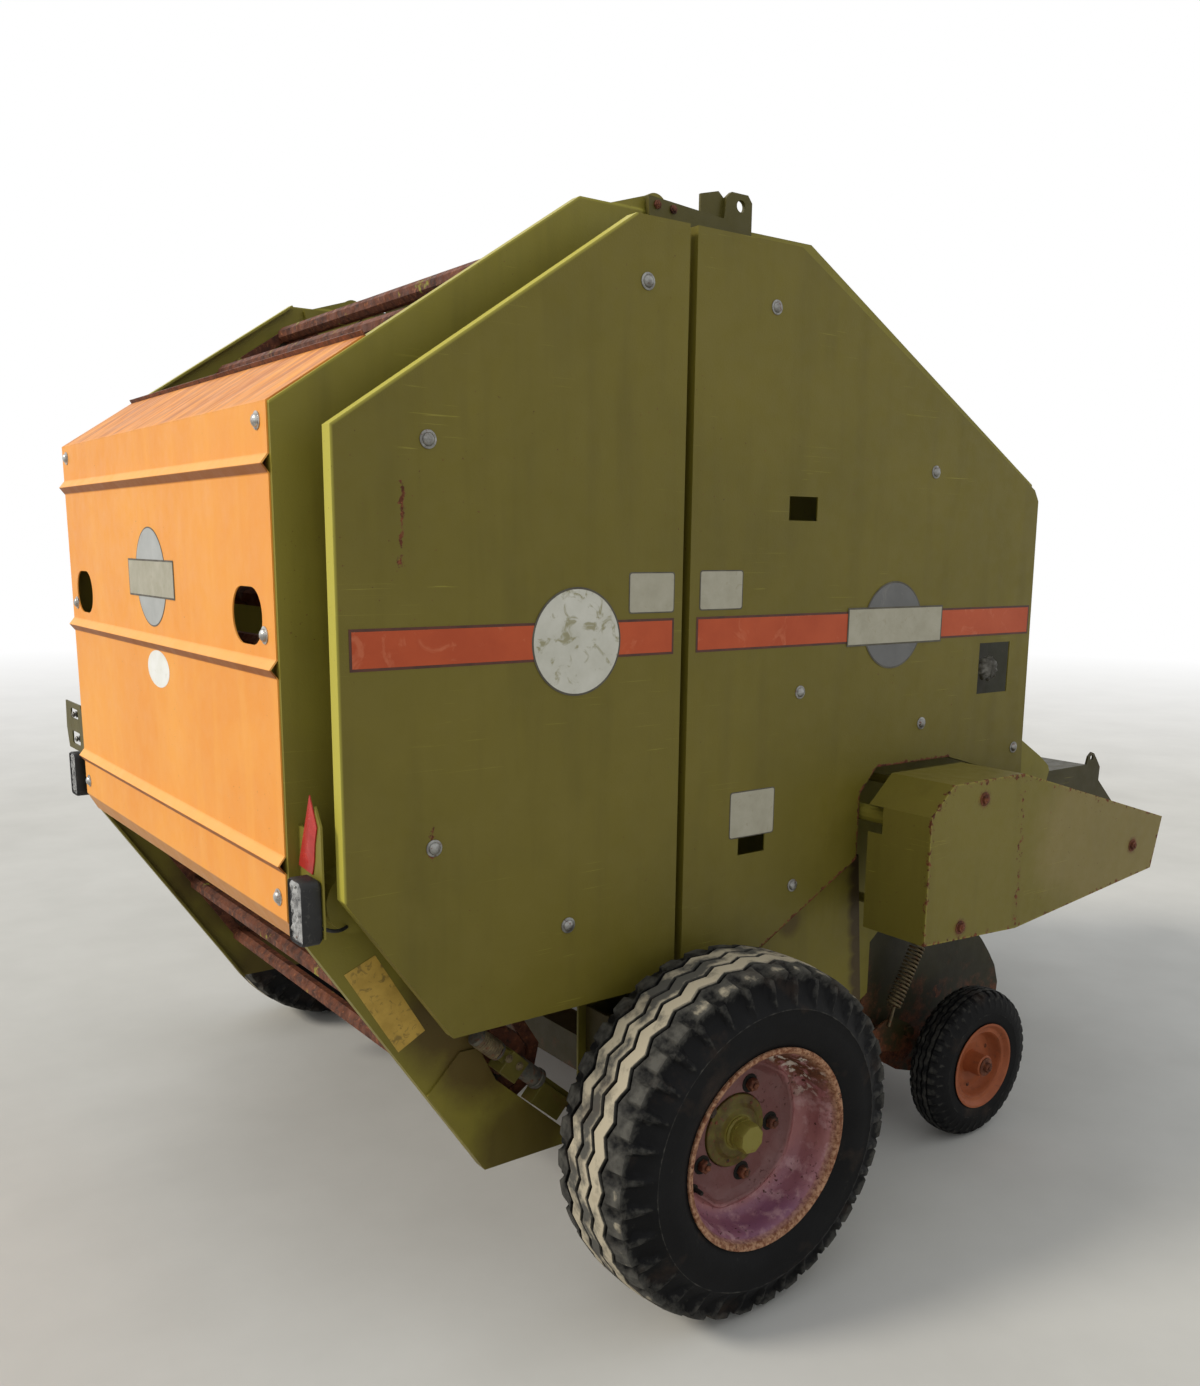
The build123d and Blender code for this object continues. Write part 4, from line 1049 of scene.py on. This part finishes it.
def guardAndPanelBolts(look):
    guard, panel = Shape(), Shape()
    for x, z in guardBolts:
        hexHead(guard, spot(x, -guardY, z), (0, -1, 0), *look["guard"], washer=1.5)
    for y, z in look["panelAt"]:
        for side in (-1, 1):
            roundHead(panel, spot(panelX, side * y, z), (-1, 0, 0), *look["panel"])
    guard.place("guard_bolts", "frame", ["rustySteel"], "rusty_steel")
    panel.place("panel_bolts", "tailgate", ["chromeSteel"], "worn_steel")


for sideName, side in bothSides:
    bolts(boltLook, sideName, side)
guardAndPanelBolts(boltLook)
print("bolts made")


# Tyres

mainTyre = {
    "node": "tyre", "body": "wheel", "centre": (0, wheelY, wheelZ), "lugs": 34, "steps": 12, "zigzag": 7.5,
    "innerRub": 0.82,
    # half width, radius, how much it rubs, zigzag share, drop between lugs, width of the fin there
    "half": [
        (0, 380, 0.93, 1), (12.5, 380, 0.93, 1), (13.5, 369, 0, 1), (22, 369, 0, 1), (23, 379.5, 1, 1),
        (36, 379, 1, 1), (50, 378, 1, 1), (51, 366, 0, 1), (60, 366, 0, 1), (61, 376.5, 0.5, 1),
        (75, 374.5, 0.56, 0.5, -7, 0.42), (90, 371.5, 0.68, 0, -13, 0.40), (102, 368, 0.56, 0, -11, 0.38),
        (107, 358, 0.1, 0, 17, 0.34), (113, 346, 0.1, 0, 17, 0.27), (118, 333, 0.08, 0, 14, 0.19),
        (122, 320, 0.08, 0, 10, 0.10), (125, 309, 0.08, 0, 4, 0.04), (126.5, 300, 0.08), (128.3, 297.5, 0.4),
        (127.2, 295, 0.08), (131, 272, 0.1), (129, 248, 0.1), (123, 230, 0.12), (117, 220, 0.1),
        (112, 206, 0), (104, 203.5, 0),
    ],
}
gaugeTyre = {
    "node": "gauge_tyre", "body": "gauge_wheel", "centre": (gaugeX, gaugeY, gaugeZ), "lugs": 40, "steps": 8,
    "zigzag": 2.0, "innerRub": 1.0,
    "half": [
        (0, 205, 0.3, 1), (5, 205, 0.3, 1), (5.5, 199, 0, 1), (10, 199, 0, 1), (10.5, 204.5, 0.35, 1),
        (20, 203.5, 0.35, 1), (20.5, 197, 0, 1), (25, 197, 0, 1), (25.5, 201.5, 0.35, 0, -3, 0.4),
        (35, 198, 0.3, 0, -4, 0.4), (41, 192, 0.25, 0, -3, 0.4), (45, 183, 0.1, 0, 3, 0.3),
        (48.5, 172, 0.08, 0, 2, 0.15), (51, 160, 0.05), (51.3, 148, 0.1), (51.6, 146, 0.3), (51, 143, 0.05),
        (50, 130, 0.05), (49, 122.3, 0), (40, 104, 0), (37, 96.3, 0),
    ],
}


# how a lug ends: width of its fin, how softly it sets in, how deep and how far in the cut goes,
# and how much more the fin rubs and how much less the falling top does
lugShape = {"fin": 0.35, "soft": 0.10, "deep": 0.8, "inwards": 0.5, "finRub": 0.25, "topRub": 0.5}


def treadPoint(row, phase, look):
    halfWidth, radius, rub, zig, drop, finWidth = row + (0,) * (6 - len(row))
    wave = abs(2 * (phase % 1) - 1) * 2 - 1
    shift = look["zigzag"] * zig * wave
    if drop:
        # a lug's top falls away at the fin, and below the edge everything but the fin is cut back
        offFin = (abs((phase % 1) - 0.5) - finWidth * lugShape["fin"]) / lugShape["soft"]
        nearFin = 1 - min(1, max(0, offFin))
        cut = -drop * nearFin if drop < 0 else drop * (1 - nearFin)
        radius -= cut * lugShape["deep"]
        halfWidth -= cut * lugShape["inwards"]
        rub = rub + lugShape["finRub"] * nearFin if drop > 0 else rub * (1 - lugShape["topRub"] * nearFin)
    return halfWidth, shift, radius, rub


def makeTyre(look, sideName, side):
    cx, cy, cz = look["centre"]
    half = look["half"]
    rows = [(row, -1) for row in half[::-1]] + [(row, 1) for row in half[1:]]
    sides = look["lugs"] * look["steps"]
    points, rubbed = [], []
    for row, outer in rows:
        for j in range(sides):
            halfWidth, shift, radius, rub = treadPoint(row, j / look["steps"], look)
            x, z = around(radius, 2 * math.pi * j / sides)
            points.append(spot(cx + x, side * (cy + outer * halfWidth + shift), cz + z))
            rubbed.append(rub if outer > 0 else rub * look["innerRub"])
    shape = Shape().add(points, ringFaces(len(rows), sides, True), 0, rubbed)
    node, body = look["node"], look["body"]
    shape.place(f"{node}_tread_{sideName}", f"{body}_{sideName}", ["tyreRubber"], "tyre_rubber", sharp=38,
                standsFor=(f"{node}_{sideName}",))


for sideName, side in bothSides:
    makeTyre(mainTyre, sideName, side)
    makeTyre(gaugeTyre, sideName, side)
print("tyres made")


# Rims and hubs

rimLook = {
    # radius and distance of the outline from the machine's middle plane, round the whole section
    "outline": [
        (215, 1133), (215, 1137.5), (213.5, 1139), (209, 1139), (204, 1137), (200.5, 1132), (198.8, 1124),
        (196, 1120), (190, 1112), (187, 1090), (184.5, 1068), (179, 1057), (169, 1050), (161.5, 1046),
        (157.5, 1046.5), (153, 1049), (148, 1047), (142, 1038), (134, 1031.5), (120, 1030), (95, 1030.6),
        (82, 1031), (80.3, 1029.5), (80.3, 1023), (120, 1022), (140, 1024), (150, 1034), (158, 1038),
        (158, 975), (186, 950), (188, 898), (188, 895), (215, 895), (215, 901), (200, 905), (194, 960),
        (168, 975), (168, 1037), (190, 1065), (200, 1128), (209, 1131),
    ],
    "sides": 80,
    "lobed": range(14, 18), "lobe": 0.055,          # which of its points swell between the nuts
    "nutRing": 102.5, "nutCount": 5, "firstNut": 67, "nut": (14.5, 17), "nutY": 1030.6,
    "seat": [(21, 0), (20, 1.2), (16, 1.5)],
    "valve": [(9, -2), (9, 2.2), (5, 3), (5, 24), (4, 26)], "valveAt": (150, 216, 1046),
}
hubLook = {
    "back": [(62, 921), (62, 1010), (127, 1010), (128, 1012), (128, 1021), (78, 1021.5)],
    "plate": [(79.3, 1021), (79.3, 1034.5), (77.5, 1036), (62, 1036.2), (60, 1037), (56, 1042), (53, 1044),
              (44, 1044.5)],
    "neck": [(36, 1040), (36, 1048), (33, 1052), (33, 1060)],
    "cap": [(31, 1050), (33, 1053), (33, 1082), (30, 1087), (26, 1088), (12, 1088)],
    "sides": {"back": 40, "plate": 48, "neck": 32, "cap": 8}, "capTurn": 0.3,
    "screws": (0.9, 2.6, 4.4), "screwRing": 66, "screwY": 1036, "screw": (4, 2.4),
}


def makeRim(look, sideName, side):
    axis = (0, side, 0)
    rim = Shape()

    def lobes(index, angle):
        return 1 + look["lobe"] * max(0, math.cos(5 * angle)) ** 2 if index in look["lobed"] else 1

    spun(rim, look["outline"], spot(0, 0, wheelZ), axis, look["sides"], 0, True, wave=lobes)
    for i in range(look["nutCount"]):
        x, z = around(look["nutRing"], math.radians(look["firstNut"] + 360 / look["nutCount"] * i))
        # a near-black seat under each nut: painted shade of its recess
        spun(rim, look["seat"], spot(x, side * (look["nutY"] + 0.2), wheelZ + z), axis, 20, 2)
        hexHead(rim, spot(x, side * look["nutY"], wheelZ + z), axis, *look["nut"], 1, washer=0, turn=i * 0.7)
    radius, degrees, y = look["valveAt"]
    x, z = around(radius, math.radians(degrees))
    spun(rim, look["valve"], spot(x, side * y, wheelZ + z), axis, 16, 2)
    used = [f"rimPaint_{sideName}", "darkRust", "darkInside"]
    rim.place(f"rim_pressed_{sideName}", f"wheel_{sideName}", used, "pink_paint", sharp=30,
              standsFor=(f"rim_{sideName}",))


def makeHub(look, sideName, side):
    axis = (0, side, 0)
    hub = Shape()
    for part, count in look["sides"].items():
        spun(hub, look[part], spot(0, 0, wheelZ), axis, count, turn=look["capTurn"] if part == "cap" else 0)
    for angle in look["screws"]:
        x, z = around(look["screwRing"], angle)
        roundHead(hub, spot(x, side * look["screwY"], wheelZ + z), axis, *look["screw"], 1, washer=0)
    used = [f"hubPaint_{sideName}", "darkRust"]
    hub.place(f"hub_cap_{sideName}", f"wheel_{sideName}", used, "green_paint", sharp=30,
              standsFor=(f"hub_{sideName}",))


gaugeRimLook = {
    "outline": [
        (118, 50.5), (118, 51.8), (116, 52), (112, 51), (108, 47), (103, 42), (99, 41), (93, 41.5),
        (90.5, 39), (88, 30), (84, 17), (78, 10), (66, 8.5), (58, 10.5), (52, 10.5), (44, 7.5), (32, 7),
        (30, 12), (30, 55), (27, 57.5), (16, 57.8), (14.4, 57), (14.4, -19), (30, -19), (30, 2), (88, 2),
        (90, 38), (95.5, 38.5), (95.5, -40), (99, -42), (118, -51.8), (118, -49), (100, -37), (100, 37),
        (104, 39), (116, 49),
    ],
    "sides": 56,
    "boltCount": 3, "boltRing": 68, "firstBolt": 25, "bolt": (5, 3), "boltY": 853.6,
    "washer": [(25, 0), (25, 2.5), (13, 3)], "nut": (14, 13), "nutY": 903,
    "stub": [(13, 0), (13, 14)], "stubY": 889,
}


def makeGaugeRim(look, sideName, side):
    axis = (0, side, 0)
    rim = Shape()
    spun(rim, look["outline"], spot(gaugeX, side * gaugeY, gaugeZ), axis, look["sides"], 0, True)
    for i in range(look["boltCount"]):
        x, z = around(look["boltRing"], math.radians(look["firstBolt"] + 360 / look["boltCount"] * i))
        roundHead(rim, spot(gaugeX + x, side * look["boltY"], gaugeZ + z), axis, *look["bolt"], 1)
    rim.place(f"gauge_rim_pressed_{sideName}", f"gauge_wheel_{sideName}", ["gaugeRimPaint", "rustySteel"],
              "orange_paint", sharp=30, standsFor=(f"gauge_rim_{sideName}",))


def gaugeNuts(look):
    shape = Shape()
    for side in (-1, 1):
        nutAt = spot(gaugeX, side * look["nutY"], gaugeZ)
        spun(shape, look["washer"], nutAt, (0, side, 0), 24)
        hexHead(shape, nutAt, (0, side, 0), *look["nut"], washer=0)
        spun(shape, look["stub"], spot(gaugeX, side * look["stubY"], gaugeZ), (0, side, 0), 20)
    shape.place("gauge_nuts", "pickup", ["rustySteel"], "rusty_steel")


for sideName, side in bothSides:
    makeRim(rimLook, sideName, side)
    makeHub(hubLook, sideName, side)
    makeGaugeRim(gaugeRimLook, sideName, side)
gaugeNuts(gaugeRimLook)
print("rims and hubs made")


# What shows through the large window of the front cover: a dark sheet on the side plate as painted shade, and
# a grey lumpy knob

windowLook = {
    "window": (1096, 1172, 1180, 1344), "corner": 8, "thick": 1.4,
    "knob": (1108, 1268), "radius": 30, "lobes": 9, "lumpy": 0.16,
    # shares of the radius, and distances from the plate
    "profile": [(0.5, 0), (0.5, 30), (0.86, 36), (1.0, 46), (0.96, 56), (0.72, 64), (0.4, 67), (0.1, 66)],
}


def windowShadeAndKnob(look):
    shape = Shape()
    # the dark sheet: painted shade on the plate behind the window
    sheet = [spot(x, -plateY - 0.2, z) for x, z in box2d(*look["window"], look["corner"])]
    slab(shape, sheet, (0, -look["thick"], 0))
    x, z = look["knob"]

    def lumps(index, angle):
        return 1 + look["lumpy"] * math.cos(look["lobes"] * angle + index)

    profile = [(share * look["radius"], along) for share, along in look["profile"]]
    spun(shape, profile, spot(x, -plateY - 1, z), (0, -1, 0), 54, 1, wave=lumps)
    shape.place("window_inside", "frame", ["pickupPaint", "knobGrey"], "cast_steel", sharp=50)


windowShadeAndKnob(windowLook)


# Round parts on the latch arms: a spring under its collar, and the barrel below the square nut

latchLook = {
    "y": 745, "top": (-455, 600), "run": (0.7461, -0.6658),
    # each from, to and radius along the arm
    "collars": [(-2, 8, 20), (66, 72, 20), (132, 190, 21), (190, 202, 23.5)], "edge": 1.5,
    "wire": 3.4, "coil": 18, "turns": 9, "perTurn": 14, "coilFrom": 9, "coilLong": 56,
    "nuts": (84, 118), "nut": (7, 5), "nutOut": 26,
}


def latchParts(look, sideName, side):
    shape = Shape()

    def along(far, up=0.0, out=0.0):
        x = look["top"][0] + look["run"][0] * far - look["run"][1] * up
        z = look["top"][1] + look["run"][1] * far + look["run"][0] * up
        return spot(x, side * (look["y"] + out), z)

    axis = (along(1) - along(0)).normalized()
    edge = look["edge"]
    for near, far, radius in look["collars"]:
        collar = [(radius - edge, near), (radius, near + edge), (radius, far - edge), (radius - edge, far)]
        spun(shape, collar, along(0), axis, 28, 1)
    count = look["turns"] * look["perTurn"]
    coil = []
    for i in range(count + 1):
        up, out = around(look["coil"], 2 * math.pi * i / look["perTurn"])
        coil.append(along(look["coilFrom"] + look["coilLong"] * i / count, up, out))
    tube(shape, coil, look["wire"], 8)
    for far in look["nuts"]:
        hexHead(shape, along(far, 0, look["nutOut"]), (0, side, 0), *look["nut"], tip=0.5)
    shape.place(f"latch_fittings_{sideName}", "frame", ["latchSteel", "castSteel"], "rusty_steel")


for sideName, side in bothSides:
    latchParts(latchLook, sideName, side)


# Springs that carry the pickup

springLook = {
    "low": (824, 750, 369), "high": (975, 750, 632.6), "coil": 18.2, "wire": 3.3, "turns": 26, "perTurn": 16,
    "coilFrom": 0.03, "coilTo": 0.93,               # shares of the way from the low end to the high one
    # each hook's way from the coil to its eye: share of the way, distance from the middle line
    "highHook": [(0.93, 18.2), (0.955, 8), (0.98, 0)], "highEye": [(2, 6, 2), (6, 16, 4)],
    "lowHook": [(0.03, 18.2), (0.012, 6)], "lowEye": [(4, 5.3, 6), (-4, 5.3, -16), (-14, 5.3, -44)],
    "lowWire": 1.2,                                 # how much thicker the low hook is
}


def makeSprings(look):
    low, high = Vector(look["low"]), Vector(look["high"])
    run = high - low
    first, second = frameAround(run)[:2]
    count = look["turns"] * look["perTurn"]
    coil = []
    for i in range(count + 1):
        a, b = around(look["coil"], 2 * math.pi * i / look["perTurn"])
        share = look["coilFrom"] + (look["coilTo"] - look["coilFrom"]) * i / count
        coil.append(low + run * share + first * a + second * b)
    highHook = [low + run * share + first * out for share, out in look["highHook"]]
    highHook += [high + Vector(step) for step in look["highEye"]]
    lowHook = [low + run * share + first * out for share, out in look["lowHook"]]
    lowHook += [low + Vector(step) for step in look["lowEye"]]
    shape = Shape()
    for side in (-1, 1):
        for line, wire in ((coil, 1), (highHook, 1), (lowHook, look["lowWire"])):
            tube(shape, [spot(point.x, side * point.y, point.z) for point in line], look["wire"] * wire, 8)
    shape.place("pickup_coils", "pickup", ["latchSteel"], "rusty_steel", standsFor=("pickup_springs",))


makeSprings(springLook)


# Lamps and reflectors at the rear corners

lampLook = {
    "x": (-845, -805), "y": (755, 818), "z": (880, 1000),
    # the case from its back to inside its rim: x, distance inwards from the sides, corner
    "rings": [(-805, 5, 9), (-811, 0, 13), (-840, 0, 13), (-844, 2, 12), (-844, 2.5, 9), (-839, 3.5, 9)],
    "lensIn": 4, "lensCells": (9, 15), "lensX": -840, "crumple": 3.0, "dish": 1.6,
    "screw": (3, 2), "screwIn": 14, "back": (770, 800, 900, 980),
}


def crumpledLens(look, side):
    # a foil face inside the rim
    x = look["lensX"]
    y0, y1 = look["y"][0] + look["lensIn"], look["y"][1] - look["lensIn"]
    z0, z1 = look["z"][0] + look["lensIn"], look["z"][1] - look["lensIn"]
    across, tall = look["lensCells"]
    points, faces = [], []
    for i in range(tall + 1):
        for j in range(across + 1):
            crumple = look["crumple"] * math.sin(i * 2.1 + j * 1.3) * math.cos(j * 2.7 - i * 0.9)
            inside = min(i, tall - i, j, across - j, 1)
            points.append(spot(x - inside * (look["dish"] + crumple), side * (y0 + (y1 - y0) * j / across),
                               z0 + (z1 - z0) * i / tall))
    for i in range(tall):
        for j in range(across):
            a = i * (across + 1) + j
            faces.append([a, a + 1, a + across + 2, a + across + 1])
    return points, faces


def makeLamp(look, sideName, side):
    lamp = Shape()
    (x0, x1), (y0, y1), (z0, z1) = look["x"], look["y"], look["z"]
    points = []
    for x, by, corner in look["rings"]:
        points += [spot(x, side * y, z) for y, z in box2d(*grown((y0, y1, z0, z1), -by), corner)]
    rings = len(look["rings"])
    sides = len(points) // rings
    lamp.add(points, ringFaces(rings, sides) + capFaces(rings, sides))
    lamp.add(*crumpledLens(look, side), 1)
    for z in (z0 + look["screwIn"], z1 - look["screwIn"]):
        roundHead(lamp, spot(x0 + 3, side * (y0 + y1) / 2, z), (-1, 0, 0), *look["screw"], 2, washer=0)
    slab(lamp, [spot(x1, side * y, z) for y, z in box2d(*look["back"])], (1, 0, 0))
    used = ["blackPlastic", "foilLens", "boltSteel"]
    lamp.place(f"lamp_case_{sideName}", "tailgate", used, "black_plastic", sharp=40,
               standsFor=("tail_lamps",) if side < 0 else ())


cableLook = {
    "route": [(-808, 806, 912), (-780, 812, 893), (-742, 775, 892)],
    "thick": 0.007, "long": 0.08,       # in metres
}


def makeCable(look, sideName, side):
    # the cable of each lamp, through the hole in its bracket and in behind the side cover
    curve = bpy.data.curves.new(f"lamp_cable_{sideName}", "CURVE")
    curve.dimensions = "3D"
    curve.bevel_depth = look["thick"] / 2
    curve.bevel_resolution = 3
    curve.use_fill_caps = True
    line = curve.splines.new("NURBS")
    line.points.add(len(look["route"]) - 1)
    for point, (x, y, z) in zip(line.points, look["route"]):
        point.co = (*spot(x, side * y, z), 1)
    line.order_u = 3
    line.use_endpoint_u = True
    line.resolution_u = 8
    curve.materials.append(finishes["blackPlastic"])
    cable = newObject(f"lamp_cable_{sideName}", curve)
    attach(cable, "tailgate")
    x, y, z = look["route"][0]


slottedLook = {
    "x": (-826, -822),
    "outline": [(717, 1004), (878, 1004), (896, 1060), (888, 1136), (730, 1136), (717, 1123)],
    "slots": [(760, 836, 1092, 1120), (752, 836, 1020, 1056)], "slotCorner": 7,
    "bolts": [(800, 1104), (782, 1038)], "spacer": [(9, 0), (9, 18)], "shank": [(4.5, 0), (4.5, 22)],
    "nut": (8.5, 6),
}


def slottedPlate(look):
    # the left corner has lost its reflector, and its carrier plate shows with two slots
    shape = Shape()
    rear, front = look["x"]
    loops = [[spot(rear, y, z) for y, z in look["outline"]]]
    loops += [[spot(rear, y, z) for y, z in box2d(*slot, look["slotCorner"])] for slot in look["slots"]]
    pierced(shape, loops, (front - rear, 0, 0))
    for y, z in look["bolts"]:
        spun(shape, look["spacer"], spot(front, y, z), (1, 0, 0), 20, 1)
        spun(shape, look["shank"], spot(front - 2, y, z), (1, 0, 0), 14, 1)
        hexHead(shape, spot(front - 3, y, z), (-1, 0, 0), *look["nut"], 1, washer=0)
    shape.place("slotted_plate", "tailgate", ["framePaint", "boltSteel"], "olive_paint",
                standsFor=("reflectors",))


reflectorLook = {
    "outline": [(779, 1146), (806, 1093), (795, 1062), (790, 1030), (780, 1002), (719, 1007)],
    "back": -804.3, "front": -806.5, "ridge": -809.8, "ridgeEnds": [(779, 1090), (768, 1030)],
}


def brokenReflector(look):
    # flat back, and a raised ridge from its tip to its root
    points = [spot(look["back"], -y, z) for y, z in look["outline"]]
    points += [spot(look["front"], -y, z) for y, z in look["outline"]]
    points += [spot(look["ridge"], -y, z) for y, z in look["ridgeEnds"]]
    count = len(look["outline"])
    top, low = 2 * count, 2 * count + 1
    faces = [list(range(count))[::-1]]
    faces += [[i, (i + 1) % count, count + (i + 1) % count, count + i] for i in range(count)]
    faces += [[count, count + 1, top], [count + 1, count + 2, top], [count + 2, count + 3, low, top],
              [count + 3, count + 4, low], [count + 4, count + 5, low], [count + 5, count, top, low]]
    Shape().add(points, faces).place("reflector_lens_right", "tailgate", ["redLens"], "red_lens", sharp=12,
                                     standsFor=("reflectors",))


for sideName, side in bothSides:
    makeLamp(lampLook, sideName, side)
    makeCable(cableLook, sideName, side)
slottedPlate(slottedLook)
brokenReflector(reflectorLook)
print("lamps made")


# Floor: pale, and white to the camera from a distance on

floorLook = {"size": 60000, "main": (206, 204, 198), "other": (198, 196, 190), "white": (5000, 16000)}


def makeFloor(look):
    half = look["size"] * mm / 2
    corners = [(x, y, 0) for x, y in box2d(-half, half, -half, half)]
    mesh = bpy.data.meshes.new("floor")
    mesh.from_pydata(corners, [], [[0, 1, 2, 3]])
    floor = newObject("floor", mesh)
    finish = Finish("paleFloor")
    finish.mottle(look, 1.5, detail=5)
    finish.done(finish.pattern(3, 0.3, 0.7, 0.8, 0.9, detail=2))
    glow = finish.tree.nodes.new("ShaderNodeEmission")
    glow.inputs["Color"].default_value = white
    rays = finish.tree.nodes.new("ShaderNodeLightPath")
    far = finish.span(finish.vector("LENGTH", finish.place), *look["white"])
    share = finish.times(far, rays.outputs["Is Camera Ray"])
    mixShaders(finish.tree, share, finish.shader.outputs[0], glow.outputs[0], finish.output)
    mesh.materials.append(finish.material)


makeFloor(floorLook)
